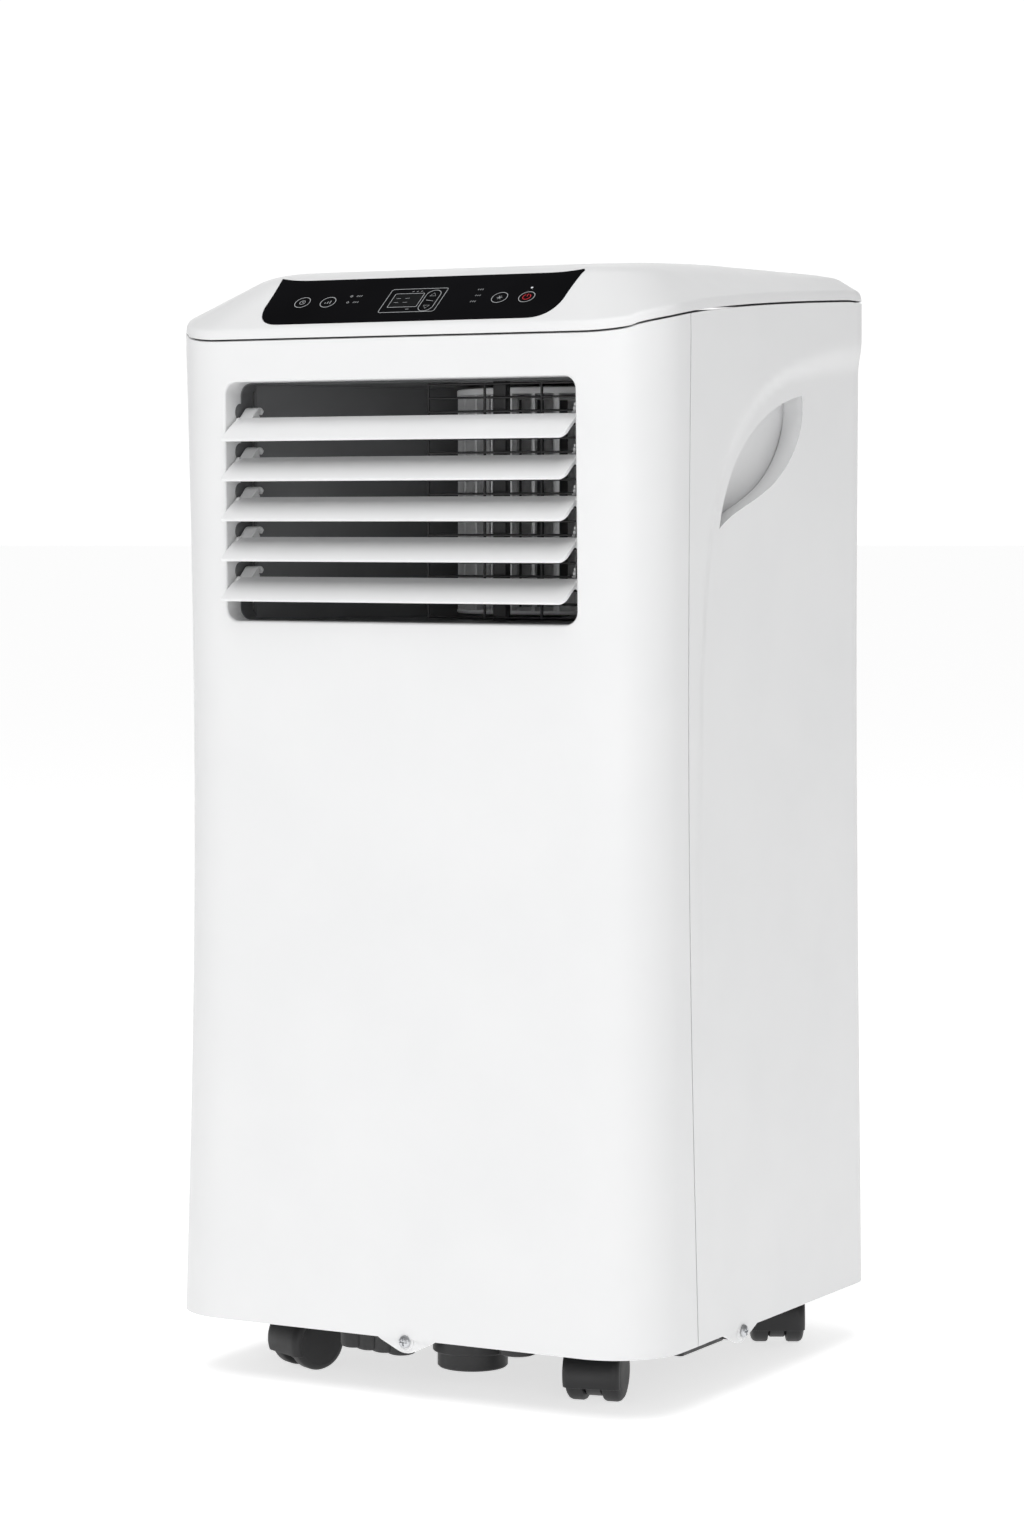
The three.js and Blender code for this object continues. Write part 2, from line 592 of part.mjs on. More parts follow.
// a squirrel-cage wheel with forward-curved blades between two rings
function makeBlowerWheel() {
  const { radius, bottom, top, blades } = BLOWER;
  const bladeDepth = 13;
  let wheel = bar('z', radius, bottom, bottom + 2.4, [0, 0], 32);
  const ring = new THREE.Shape().absarc(0, 0, radius, 0, Math.PI * 2);
  ring.holes.push(new THREE.Path().absarc(0, 0, radius - bladeDepth, 0, Math.PI * 2));
  wheel = join(wheel, solidOf(extrude(ring, 4, 16).translate(0, 0, top - 4)));
  for (let i = 0; i < blades; i += 1) {
    const blade = new THREE.BoxGeometry(bladeDepth - 2, 1.2, top - bottom - 4);
    const out = radius - bladeDepth / 2 - 0.4;
    blade.rotateZ(THREE.MathUtils.degToRad(28)).translate(out, 0, (top + bottom) / 2 - 1);
    wheel = join(wheel, solidOf(blade.rotateZ((i / blades) * Math.PI * 2)));
  }
  wheel = join(wheel, bar('z', 10, bottom, bottom + 16, [0, 0], 16));
  wheel = cut(wheel, bar('z', 4 + GAP, bottom - 5, bottom + 30, [0, 0], 12));
  addMesh('blower_wheel', wheel, 'lightGrey', unit, [BLOWER.x, BLOWER.y, 0]);
}

function makeBlowerMotor() {
  const top = BLOWER.bottom - 6 - GAP;
  const foot = DECK_Z + 3 + GAP;
  const profile = [
    [0, foot], [36, foot], [42, DECK_Z + 12], [42, top - 10], [34, top], [9, top],
    [9, top + 4], [4, top + 4], [4, top + 24], [0, top + 24],
  ];
  addMesh('blower_motor', turned(profile, 16), 'steel', unit, [BLOWER.x, BLOWER.y, 0]);
}

// ---------------------------------------------------------------- refrigeration
// a fin-and-tube coil: a comb of fins with plain end plates
function coil(halfWidth, front, rear, bottom, top, slots) {
  const pitch = (2 * halfWidth) / slots;
  const points = [[-halfWidth, front], [halfWidth, front], [halfWidth, rear]];
  for (let i = slots - 1; i > 0; i -= 1) {
    const x = -halfWidth + i * pitch;
    points.push([x + 1, rear], [x + 1, rear - 6], [x - 1, rear - 6], [x - 1, rear]);
  }
  points.push([-halfWidth, rear]);
  return solidOf(extrude(polygon(points), top - bottom).translate(0, 0, bottom));
}

const EVAPORATOR = { halfWidth: 134, front: 104, rear: 134, bottom: DECK_Z + 3.4, top: 648 };
const CONDENSER = { halfWidth: 134, front: 108, rear: 140, bottom: 53, top: 240 };

function makeCoils() {
  const e = EVAPORATOR;
  addMesh('evaporator', coil(e.halfWidth, e.front, e.rear, e.bottom, e.top, 14), 'aluminium');
  const c = CONDENSER;
  addMesh('condenser', coil(c.halfWidth, c.front, c.rear, c.bottom, c.top, 14), 'aluminium');
}

const COMPRESSOR = { x: -62, y: -62, radius: 55, bottom: 53, top: 268 };
const ACCUMULATOR = { x: 26, y: -92, radius: 22, bottom: 92, top: 246 };

function makeCompressor() {
  const { x, y, radius, bottom, top } = COMPRESSOR;
  const profile = [[0, bottom], [radius - 12, bottom], [radius, bottom + 10], [radius, top - 22],
    [radius - 10, top - 8], [radius - 30, top], [0, top]];
  let body = turned(profile, 24);
  for (let i = 0; i < 3; i += 1) {
    const foot = new THREE.BoxGeometry(30, 26, 4).translate(radius + 6, 0, bottom + 2);
    body = join(body, solidOf(foot.rotateZ((i / 3) * Math.PI * 2)));
  }
  addMesh('compressor', body, 'black', unit, [x, y, 0]);
  const a = ACCUMULATOR;
  const bottle = [
    [0, a.bottom], [a.radius - 4, a.bottom], [a.radius, a.bottom + 6],
    [a.radius, a.top - 14], [a.radius - 6, a.top - 2], [0, a.top],
  ];
  addMesh('accumulator', turned(bottle, 14), 'black', unit, [a.x, a.y, 0]);
}

function makePipes() {
  const c = COMPRESSOR;
  const bottle = [ACCUMULATOR.x, ACCUMULATOR.y];
  const suction = [
    [...bottle, ACCUMULATOR.top + 1], [...bottle, 330], [58, -42, 370],
    [146, 20, 392], [150, 60, 420], [150, 96, 450], [148, 120, 470],
  ];
  addMesh('suction_pipe', pipe(suction, 4.5, 22), 'copper');
  const discharge = [
    [c.x, c.y, c.top + GAP], [c.x, c.y, 300], [-102, -52, 322],
    [-146, 0, 300], [-148, 60, 230], [-146, 122, 200],
  ];
  addMesh('discharge_pipe', pipe(discharge, 4, 22), 'copper');
}

// ---------------------------------------------------------------- exhaust fan
const FAN = {
  front: 42, rear: 128, radius: 80, inlet: 56, y: 86,
  hub: 20, hubHalf: 18, tip: 68, blades: 7, pitch: 38, shaft: 4,
};

function makeExhaustFan() {
  const z = EXHAUST.z;
  const f = FAN;
  const drum = cut(
    bar('y', f.radius, f.front, f.rear, [0, z], 28),
    bar('y', f.radius - WALL, f.front + WALL, f.rear + 5, [0, z], 28),
    bar('y', f.inlet, f.front - 5, f.front + 10, [0, z], 20),
  );
  addMesh('exhaust_fan_housing', drum, 'darkGrey');
  let wheel = bar('y', f.hub, -f.hubHalf, f.hubHalf, [0, 0], 20);
  const root = f.hub - 2;
  for (let i = 0; i < f.blades; i += 1) {
    const blade = new THREE.BoxGeometry(3, 40, f.tip - root);
    blade.rotateZ(THREE.MathUtils.degToRad(f.pitch)).translate(0, 0, (f.tip + root) / 2);
    wheel = join(wheel, solidOf(blade.rotateY((i / f.blades) * Math.PI * 2)));
  }
  wheel = cut(wheel, bar('y', f.shaft + GAP, -30, 10, [0, 0], 12));
  addMesh('exhaust_fan_wheel', wheel, 'lightGrey', unit, [0, f.y, z]);
  const can = bar('y', 36, f.front - 62, f.front - 6, [0, z], 24);
  const shaft = bar('y', f.shaft, f.front - 10, f.y + 6, [0, z], 12);
  addMesh('exhaust_fan_motor', join(can, shaft), 'steel');
}

function makeExhaustCollar() {
  const { radius, wall, reach, z } = EXHAUST;
  const tip = BODY_REAR + reach;
  const ring = join(
    bar('y', radius + wall, BODY_REAR - 30, tip, [0, z], 32),
    bar('y', radius + 9, BODY_REAR + GAP, BODY_REAR + 3, [0, z], 32),
  );
  let collar = cut(ring, bar('y', radius, BODY_REAR - 40, tip + 5, [0, z], 32));
  for (let i = 0; i < 4; i += 1) {
    const angle = (i / 4) * Math.PI * 2 + Math.PI / 4;
    const tab = new THREE.BoxGeometry(12, 4, 5).translate(0, tip - 4, radius + wall + 1.5);
    collar = join(collar, solidOf(tab.rotateY(angle).translate(0, 0, z)));
  }
  addMesh('exhaust_collar', collar, 'white');
}

// ---------------------------------------------------------------- rear grilles, filter and caps
// a panel that fills a rear opening, with rows of slots either side of a middle rib
function grille(opening, bars, proud) {
  const margin = 9;
  const slot = 7;
  const rib = 3;
  const low = opening.bottom + margin;
  const pitch = (opening.top - opening.bottom - 2 * margin) / bars;
  const half = opening.halfWidth - margin;
  let panelSolid = extrudeAlongY(openingShape(opening, -GAP), BODY_REAR - 3, BODY_REAR + proud);
  for (let i = 0; i < bars; i += 1) {
    const z = low + i * pitch + (pitch - slot) / 2;
    for (const [a, b] of [[-half, -rib], [rib, half]]) {
      panelSolid = cut(panelSolid, block([a, BODY_REAR - 10, z], [b, BODY_REAR + 10, z + slot]));
    }
  }
  return panelSolid;
}

function makeRearGrilles() {
  addMesh('upper_intake_grille', grille(UPPER_INTAKE, 12, 3), 'white');
  addMesh('lower_intake_grille', grille(LOWER_INTAKE, 9, 3), 'white');
  const u = UPPER_INTAKE;
  const frame = roundedRectangle(-u.halfWidth + 3, u.halfWidth - 3, u.bottom + 3, u.top - 3, 6);
  addMesh('filter_net', extrudeAlongY(frame, BODY_REAR - 8, BODY_REAR - 4), 'net');
}

function makeCapsAndGland() {
  for (const drain of DRAINS) {
    const flange = bar('y', DRAIN_RADIUS + 3, 0.4, 5, [0, 0], 20);
    const plug = bar('y', DRAIN_RADIUS, -12, 1, [0, 0], 20);
    const grip = block([-7, 4, -1.5], [7, 11, 1.5]);
    addMesh(drain.name, join(flange, plug, grip), 'white', unit, [drain.x, BODY_REAR, drain.z]);
  }
  const { x, z, radius } = CORD_GLAND;
  const gland = cut(
    join(bar('y', radius, -10, 2, [0, 0], 20), bar('y', radius + 3, GAP, 4, [0, 0], 20)),
    bar('y', 3.6, -20, 20, [0, 0], 12),
  );
  addMesh('cord_gland', gland, 'black', unit, [x, BODY_REAR, z]);
}

// ---------------------------------------------------------------- base, deck and electrics
const SUMP = { x: 20, y: -110, radius: 22, bottom: 14, stepUp: 10, stepOut: 3 };
const PAN = { inset: WALL + 1.4, wall: 2.4, floor: 3, top: 66 };
const PAN_RIBS = { count: 4, x: -44, y: -146, stepX: 10, stepY: 2, radius: 9, bottom: 26 };
const PAN_FOOT = { x: 62, y: -128, radius: 12, bottom: 28 };
const SIDE_BLOCK = { inner: 52, outer: 150, front: -78, rear: -18, bottom: 26 };
const LUG_BOSS = { half: 7, depth: 17.5, reach: 30, margin: 4, bottom: 33 };

// what hangs under the pan: the sump, a row of ribs, a round foot, side blocks and the lugs' bosses
function panUnderside() {
  const joint = PAN_UNDERSIDE + 1;
  const s = SUMP;
  const sumpProfile = [[0, s.bottom], [s.radius, s.bottom], [s.radius, s.bottom + s.stepUp],
    [s.radius + s.stepOut, s.bottom + s.stepUp], [s.radius + s.stepOut, joint], [0, joint]];
  const parts = [turned(sumpProfile, 24).translate([s.x, s.y, 0])];
  const r = PAN_RIBS;
  for (let i = 0; i < r.count; i += 1) {
    parts.push(bar('z', r.radius, r.bottom - i, joint, [r.x + i * r.stepX, r.y + i * r.stepY], 12));
  }
  parts.push(bar('z', PAN_FOOT.radius, PAN_FOOT.bottom, joint, [PAN_FOOT.x, PAN_FOOT.y], 18));
  const boss = LUG_BOSS;
  const outer = BODY_WIDTH / 2 - boss.margin;
  const front = BODY_FRONT + boss.margin;
  const frontFar = [FRONT_LUG_X + boss.half, front + boss.depth, joint];
  parts.push(block([FRONT_LUG_X - boss.half, front, boss.bottom], frontFar));
  for (const side of [-1, 1]) {
    const b = SIDE_BLOCK;
    const blockSpan = [side * b.inner, side * b.outer].sort((p, q) => p - q);
    parts.push(block([blockSpan[0], b.front, b.bottom], [blockSpan[1], b.rear, joint]));
    const bossSpan = [side * (outer - boss.reach), side * outer].sort((p, q) => p - q);
    const lows = [bossSpan[0], SIDE_LUG_Y - boss.half, boss.bottom];
    parts.push(block(lows, [bossSpan[1], SIDE_LUG_Y + boss.half, joint]));
  }
  return join(...parts);
}

function makeBasePan() {
  const tray = bodyBlock(PAN.inset, PAN_UNDERSIDE, () => PAN.top, 1);
  const hollow = bodyBlock(PAN.inset + PAN.wall, PAN_UNDERSIDE + PAN.floor, () => PAN.top + 24, 1);
  let pan = join(cut(tray, hollow), panUnderside());
  for (const place of CASTER_PLACES) {
    const centre = [place.x, place.y];
    pan = join(pan, bar('z', CASTER.stem * 2, PAN_UNDERSIDE, PAN_UNDERSIDE + 12, centre, 12));
    pan = cut(pan, bar('z', CASTER.stem + GAP, PAN_UNDERSIDE - 20, PAN_UNDERSIDE + 10, centre, 12));
  }
  const through = [BODY_REAR - 20, BODY_REAR + 5];
  const holes = [
    bar('y', LUG_SCREW_RADIUS + GAP, BODY_FRONT - 8, BODY_FRONT + 16, [FRONT_LUG_X, LUG_SCREW_Z], 8),
    bar('x', LUG_SCREW_RADIUS + GAP, -BODY_WIDTH, BODY_WIDTH, [SIDE_LUG_Y, LUG_SCREW_Z], 8),
    bar('y', DRAIN_RADIUS + GAP, ...through, [LOWER_DRAIN.x, LOWER_DRAIN.z], 16),
    bar('y', CORD_GLAND.radius + GAP, ...through, [CORD_GLAND.x, CORD_GLAND.z], 16),
  ];
  addMesh('base_pan', cut(pan, ...holes), 'black');
}

function makeMidDeck() {
  const inset = WALL + 3;
  const outline = roundedRectangle(-BODY_WIDTH / 2 + inset + 5, BODY_WIDTH / 2 - inset - 5, BODY_FRONT + 12,
    BODY_REAR - inset, FRONT_RADIUS - inset, REAR_RADIUS - inset);
  let deck = solidOf(extrude(outline, 3, 6).translate(0, 0, DECK_Z));
  deck = cut(deck, block([136, 24, DECK_Z - 5], [180, 84, DECK_Z + 5]));
  deck = cut(deck, block([104, 140, DECK_Z - 20], [134, 180, DECK_Z + 20]));
  addMesh('mid_deck', deck, 'darkGrey');
}

function makeElectricalBox() {
  const box = cut(
    block([-160, -40, 420], [-120, 80, 526]),
    block([-157.6, -37.6, 423], [-117, 77.6, 523]),
  );
  addMesh('electrical_box', box, 'zinc');
}

// ---------------------------------------------------------------- casters
// in a caster's own frame the swivel axis is Z, and the wheels trail towards +Y
function makeCaster({ name, x, y, turn }) {
  const c = CASTER;
  const group = new THREE.Group();
  group.position.set(x, y, 0);
  group.rotation.z = THREE.MathUtils.degToRad(turn);
  unit.add(group);
  const hub = [c.trail, c.wheelRadius];
  const halfWidth = c.web / 2 + c.wheelWidth + 2 * GAP;
  const inside = c.wheelRadius + c.hoodGap;
  const cover = cut(
    bar('x', inside + c.hoodWall, -halfWidth, halfWidth, hub, 20),
    block([-30, -30, -10], [30, 60, c.wheelRadius - 2]),
    block([-30, c.trail + c.hoodRear, -10], [30, 60, 60]),
  );
  const web = bar('x', c.wheelRadius - 3, -c.web / 2, c.web / 2, hub, 16);
  const crown = block([-c.web / 2, c.trail - 16, c.wheelRadius], [c.web / 2, c.trail + 6, 38]);
  const neck = bar('z', c.neck, 33, PAN_UNDERSIDE - GAP, [0, 0], 14);
  const stem = bar('z', c.stem, 36, PAN_UNDERSIDE + 9, [0, 0], 12);
  const hood = cut(
    join(cover, web, crown, neck, stem),
    bar('x', inside, c.web / 2, halfWidth + 5, hub, 20),
    bar('x', inside, -halfWidth - 5, -c.web / 2, hub, 20),
    bar('x', c.pinRadius + GAP, -30, 30, hub, 10),
  );
  addMesh(`caster_hood_${name}`, hood, 'black', group);
  const axle = bar('x', c.pinRadius, -halfWidth + 1, halfWidth - 1, hub, 10);
  addMesh(`caster_axle_${name}`, axle, 'steel', group);
  for (const [side, label] of [[-1, 'a'], [1, 'b']]) {
    const inner = c.web / 2 + GAP;
    const profile = [[c.pinRadius + GAP, 0], [c.wheelRadius - 1.5, 0], [c.wheelRadius, 2],
      [c.wheelRadius, c.wheelWidth - 3], [c.wheelRadius - 4, c.wheelWidth],
      [c.pinRadius + GAP, c.wheelWidth], [c.pinRadius + GAP, 0]];
    const points = profile.map(([r, h]) => new THREE.Vector2(r, h));
    const disc = new THREE.LatheGeometry(points, 18).rotateZ(-Math.PI / 2);
    const wheel = solidOf(disc).translate([inner, 0, 0]);
    const placed = side > 0 ? wheel : wheel.mirror([1, 0, 0]);
    addMesh(`caster_wheel_${name}_${label}`, placed, 'black', group, [0, c.trail, c.wheelRadius]);
  }
}

// ---------------------------------------------------------------- assembly
makeFrontShell();
makeRearShell();
makeLugScrews();
makeLid();
makeControlPanel();
for (let i = 0; i < LOUVRE_COUNT; i += 1) makeLouvre(i);
makeLouvreLink();
makeOutletGuard();
makeBlowerScroll();
makeBlowerWheel();
makeBlowerMotor();
makeCoils();
makeCompressor();
makePipes();
makeExhaustFan();
makeExhaustCollar();
makeRearGrilles();
makeCapsAndGland();
makeBasePan();
makeMidDeck();
makeElectricalBox();
CASTER_PLACES.forEach(makeCaster);

export default unit;
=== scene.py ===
import json
import math

import bmesh
import bpy
from mathutils import Matrix, Vector
from mathutils.geometry import delaunay_2d_cdt


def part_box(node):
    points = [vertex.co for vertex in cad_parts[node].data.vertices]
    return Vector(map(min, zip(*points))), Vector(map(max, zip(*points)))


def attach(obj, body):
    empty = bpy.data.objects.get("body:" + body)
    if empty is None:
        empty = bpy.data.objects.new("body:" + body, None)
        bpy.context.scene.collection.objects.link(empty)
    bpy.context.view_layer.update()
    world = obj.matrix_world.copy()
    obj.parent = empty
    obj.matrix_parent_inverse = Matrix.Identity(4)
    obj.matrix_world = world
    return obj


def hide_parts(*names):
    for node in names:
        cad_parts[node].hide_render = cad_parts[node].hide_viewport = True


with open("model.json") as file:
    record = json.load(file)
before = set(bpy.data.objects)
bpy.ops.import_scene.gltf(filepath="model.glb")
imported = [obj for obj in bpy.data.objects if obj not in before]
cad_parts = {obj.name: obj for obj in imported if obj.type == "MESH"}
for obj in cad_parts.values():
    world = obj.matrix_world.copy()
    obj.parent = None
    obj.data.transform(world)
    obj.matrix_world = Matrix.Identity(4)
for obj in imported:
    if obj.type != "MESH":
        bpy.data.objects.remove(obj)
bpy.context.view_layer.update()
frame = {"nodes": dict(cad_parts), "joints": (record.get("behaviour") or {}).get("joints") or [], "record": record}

# Lengths in this script are millimetres, and MM turns them into Blender's metres.
MM = 0.001


def box_mm(node):
    low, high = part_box(node)
    return low / MM, high / MM


# ------------------------------------------------------------------ driving dimensions
LID_LOW, LID_HIGH = box_mm("top_lid")
REAR_LOW, REAR_HIGH = box_mm("rear_shell")
FRONT_LOW, FRONT_HIGH = box_mm("front_shell")
CAD_GAP = 0.3
LUG_DROP = 9
HALF_WIDTH = LID_HIGH.x
BODY_FRONT = FRONT_LOW.y
BODY_REAR = REAR_HIGH.y
BODY_DEPTH = BODY_REAR - BODY_FRONT
OVERALL_HEIGHT = LID_HIGH.z
SHELL_BOTTOM = REAR_LOW.z + LUG_DROP
SEAM_FRONT = LID_LOW.z - CAD_GAP / 2
SEAM_REAR = REAR_HIGH.z + CAD_GAP / 2
FRONT_RADIUS = 45
REAR_RADIUS = 30
WALL = 2.6
WAIST_FRONT = 4.2
WAIST_REAR = 1.6
SPLIT_TOP = -114
SPLIT_BOTTOM = -104
KINK_BACK = 10.5
KINK_RISE = 2.95
SEAM_REACH = 279.5
SEAM_GAP = 1.3          # the shadow line between two mouldings
EDGE_ROUND = 0.6

LIP_HEIGHT = 6.5
FACET_TOP_Y = -127
FACET_TOP_Z = 694.5
FACET_ANGLE = math.atan2(FACET_TOP_Z - SEAM_FRONT - LIP_HEIGHT, FACET_TOP_Y - BODY_FRONT - 1)
CROWN_FRONT_Z = 698.5

OUTLET = {"half": 124.5, "low": 478, "high": 627.5, "radius": 8, "wall_depth": 19, "depth": 33}
LOUVRES = 5
LOUVRE_TILT = math.radians(34)
LOUVRE_REACH = 23
LOUVRE_TAIL = 3
LOUVRE_RISE = 1.4
LOUVRE_PITCH = 25
LOUVRE_BOTTOM = 490.4        # the height of the lowest slat's front edge
LINK_PIN = Vector((11, 6.5))

UPPER_INTAKE = {"half": 126, "low": 440, "high": 642}
LOWER_INTAKE = {"half": 126, "low": 84, "high": 232}
EXHAUST_Z = sum(box_mm("exhaust_collar")[i].z for i in (0, 1)) / 2
EXHAUST_RADIUS = 72
EXHAUST_WALL = 3
LUG_SCREW_Z = SHELL_BOTTOM - 1.5
LUG_INSET = 1.4
LUG_RING = 5.6
FRONT_LUG_X = 7
SIDE_LUG_Y = -41


def clamp(value, low=0.0, high=1.0):
    return max(low, min(high, value))


def lerp(a, b, t):
    return a + (b - a) * t


def smooth(t):
    t = clamp(t)
    return t * t * (3 - 2 * t)


def spread(start, end, steps):
    """steps + 1 even values from start to end."""
    return [lerp(start, end, i / steps) for i in range(steps + 1)]


def sin_cos(degrees):
    angle = math.radians(degrees)
    return math.sin(angle), math.cos(angle)


# ------------------------------------------------------------------ mesh building
class Shape:
    """Points in millimetres and the faces between them, gathered for one piece."""

    def __init__(self):
        self.points = []
        self.faces = []

    def add(self, point):
        self.points.append(Vector(point))
        return len(self.points) - 1

    def ring(self, points):
        return [self.add(p) for p in points]

    def bridge(self, first, second, closed=True):
        """Quads between two rows of points of equal length."""
        count = len(first)
        for i in range(count if closed else count - 1):
            j = (i + 1) % count
            self.faces.append((first[i], first[j], second[j], second[i]))

    def bridge_all(self, rings, closed=True, around=False):
        for first, second in zip(rings, rings[1:]):
            self.bridge(first, second, closed)
        if around:
            self.bridge(rings[-1], rings[0], closed)

    def cap_ends(self, rings):
        """One flat face over the first ring and one over the last."""
        self.faces.append(tuple(rings[0]))
        self.faces.append(tuple(rings[-1]))

    def fan(self, ring, centre):
        for i, index in enumerate(ring):
            self.faces.append((index, ring[(i + 1) % len(ring)], centre))


def inside(loop, point):
    """Whether a 2-D point lies inside a closed loop."""
    hit = False
    for (ax, ay), (bx, by) in zip(loop, loop[1:] + loop[:1]):
        if (ay > point[1]) != (by > point[1]):
            if point[0] < (bx - ax) * (point[1] - ay) / (by - ay) + ax:
                hit = not hit
    return hit


def gap_to(loop, point):
    """Distance from a 2-D point to a closed loop's sides."""
    best = 1e9
    for (ax, ay), (bx, by) in zip(loop, loop[1:] + loop[:1]):
        dx, dy = bx - ax, by - ay
        t = clamp(((point[0] - ax) * dx + (point[1] - ay) * dy) / (dx * dx + dy * dy))
        best = min(best, math.hypot(point[0] - ax - t * dx, point[1] - ay - t * dy))
    return best


def triangulate(shape, loops, indices, extra=(), extra_indices=()):
    """Fills the area inside the first loop and outside the others, through the extra points."""
    flat = [Vector(p) for loop in loops for p in loop] + [Vector(p) for p in extra]
    numbers = [i for loop in indices for i in loop] + list(extra_indices)
    edges, first = [], 0
    for loop in loops:
        count = len(loop)
        edges += [(first + i, first + (i + 1) % count) for i in range(count)]
        first += count
    verts, _, faces, sources, _, _ = delaunay_2d_cdt(flat, edges, [], 0, 1e-7)

    def number(i):
        if sources[i]:
            return numbers[sources[i][0]]
        return numbers[min(range(len(flat)), key=lambda k: (flat[k] - verts[i]).length_squared)]

    for face in faces:
        centre = sum((verts[i] for i in face), Vector((0, 0))) / len(face)
        if inside(loops[0], centre) and not any(inside(hole, centre) for hole in loops[1:]):
            corners = tuple(number(i) for i in face)
            if len(set(corners)) == 3:
                shape.faces.append(corners)


def offset_loop(loop, distance):
    """A loop moved to the left of its direction of travel."""
    moved = []
    for before, here, after in zip(loop[-1:] + loop[:-1], loop, loop[1:] + loop[:1]):
        a = (Vector(here) - Vector(before)).normalized()
        b = (Vector(after) - Vector(here)).normalized()
        normal = Vector((-a.y - b.y, a.x + b.x))
        length = max(normal.length, 1e-6)
        scale = distance / max(0.45, length / 2)
        moved.append((here[0] + normal.x / length * scale, here[1] + normal.y / length * scale))
    return moved


def arc(cx, cy, radius, start, end, steps):
    """Points of an arc, angles in degrees."""
    return [
        (cx + radius * math.cos(math.radians(a)), cy + radius * math.sin(math.radians(a)))
        for a in spread(start, end, steps)
    ]


def circle_loop(cx, cy, radius, steps=32):
    return arc(cx, cy, radius, 0, 360, steps)[:-1]


def rounded_loop(x0, x1, y0, y1, radius, steps=6):
    """A rectangle with round corners, anticlockwise."""
    loop = arc(x1 - radius, y0 + radius, radius, -90, 0, steps)
    loop += arc(x1 - radius, y1 - radius, radius, 0, 90, steps)
    loop += arc(x0 + radius, y1 - radius, radius, 90, 180, steps)
    loop += arc(x0 + radius, y0 + radius, radius, 180, 270, steps)
    return loop


def round_corners(points, radii, steps=5, closed=False):
    """A polyline of 2-D or 3-D points whose corners are eased by curves of the given lengths."""
    points = [Vector(p) for p in points]
    count = len(points)
    result = []
    for i, here in enumerate(points):
        radius = radii[i] if isinstance(radii, (list, tuple)) else radii
        if radius <= 0 or (not closed and i in (0, count - 1)):
            result.append(here)
            continue
        before, after = points[i - 1], points[(i + 1) % count]
        a = here + (before - here).normalized() * min(radius, 0.48 * (before - here).length)
        b = here + (after - here).normalized() * min(radius, 0.48 * (after - here).length)
        for t in spread(0, 1, steps):
            result.append(a * (1 - t) ** 2 + here * 2 * t * (1 - t) + b * t * t)
    return result


def quadratic(a, control, b, steps):
    a, control, b = Vector(a), Vector(control), Vector(b)
    return [tuple(a * (1 - t) ** 2 + control * 2 * t * (1 - t) + b * t * t) for t in spread(0, 1, steps)]


def cubic(a, b, c, d, steps):
    a, b, c, d = Vector(a), Vector(b), Vector(c), Vector(d)
    return [
        tuple(a * (1 - t) ** 3 + b * 3 * t * (1 - t) ** 2 + c * 3 * t * t * (1 - t) + d * t ** 3)
        for t in spread(0, 1, steps)
    ]


def plate(shape, loops, place, near, far, edge=0.4, steps=3):
    """A plate with rounded rims. Loops run with the material on their left: the outline, then holes."""
    rings = []
    for a in spread(0, 90, steps):
        s, c = sin_cos(a)
        rings.append((edge * (1 - s), near + math.copysign(edge, far - near) * (1 - c)))
    rings += [(inset, near + far - height) for inset, height in reversed(rings)]
    made = []
    for inset, height in rings:
        level = []
        for loop in loops:
            moved = offset_loop(loop, inset) if inset > 1e-6 else loop
            level.append((moved, shape.ring(place(u, v, height) for u, v in moved)))
        made.append(level)
    for first, second in zip(made, made[1:]):
        for (_, a), (_, b) in zip(first, second):
            shape.bridge(a, b)
    for level in (made[0], made[-1]):
        triangulate(shape, [flat for flat, _ in level], [numbers for _, numbers in level])


def clockwise(loop):
    return list(reversed(loop))


def lathe(shape, profile, place, segments=48):
    """A turned body. The profile is [(radius, height), ...] and starts and ends on the axis or closes."""
    rings = []
    for radius, height in profile:
        if radius < 1e-6:
            rings.append([shape.add(place(0, 0, height))])
            continue
        angles = [2 * math.pi * i / segments for i in range(segments)]
        rings.append(shape.ring(place(radius * math.cos(a), radius * math.sin(a), height) for a in angles))
    loops = list(zip(rings, rings[1:]))
    if len(rings[0]) > 1:
        loops.append((rings[-1], rings[0]))
    for first, second in loops:
        if len(first) == 1 and len(second) > 1:
            shape.fan(second, first[0])
        elif len(second) == 1 and len(first) > 1:
            shape.fan(first, second[0])
        elif len(first) > 1:
            shape.bridge(first, second)


def tube(shape, route, radius, sides=8):
    """A closed round bar along a straight or bent route."""
    route = [Vector(p) for p in route]
    rings = []
    for i, here in enumerate(route):
        along = (route[min(i + 1, len(route) - 1)] - route[max(i - 1, 0)]).normalized()
        across = along.orthogonal() if abs(along.z) > 0.9 else along.cross(Vector((0, 0, 1)))
        across.normalize()
        up = along.cross(across)
        turns = [2 * math.pi * k / sides for k in range(sides)]
        rings.append(shape.ring(here + (across * math.cos(a) + up * math.sin(a)) * radius for a in turns))
    shape.bridge_all(rings)
    shape.cap_ends(rings)


def along_x(u, v, w):
    return (w, u, v)


def along_y(u, v, w):
    return (u, w, v)


def along_z(u, v, w):
    return (u, v, w)


def shifted(place, x=0.0, y=0.0, z=0.0):
    return lambda u, v, w: Vector(place(u, v, w)) + Vector((x, y, z))


CREASE_ANGLE = 38


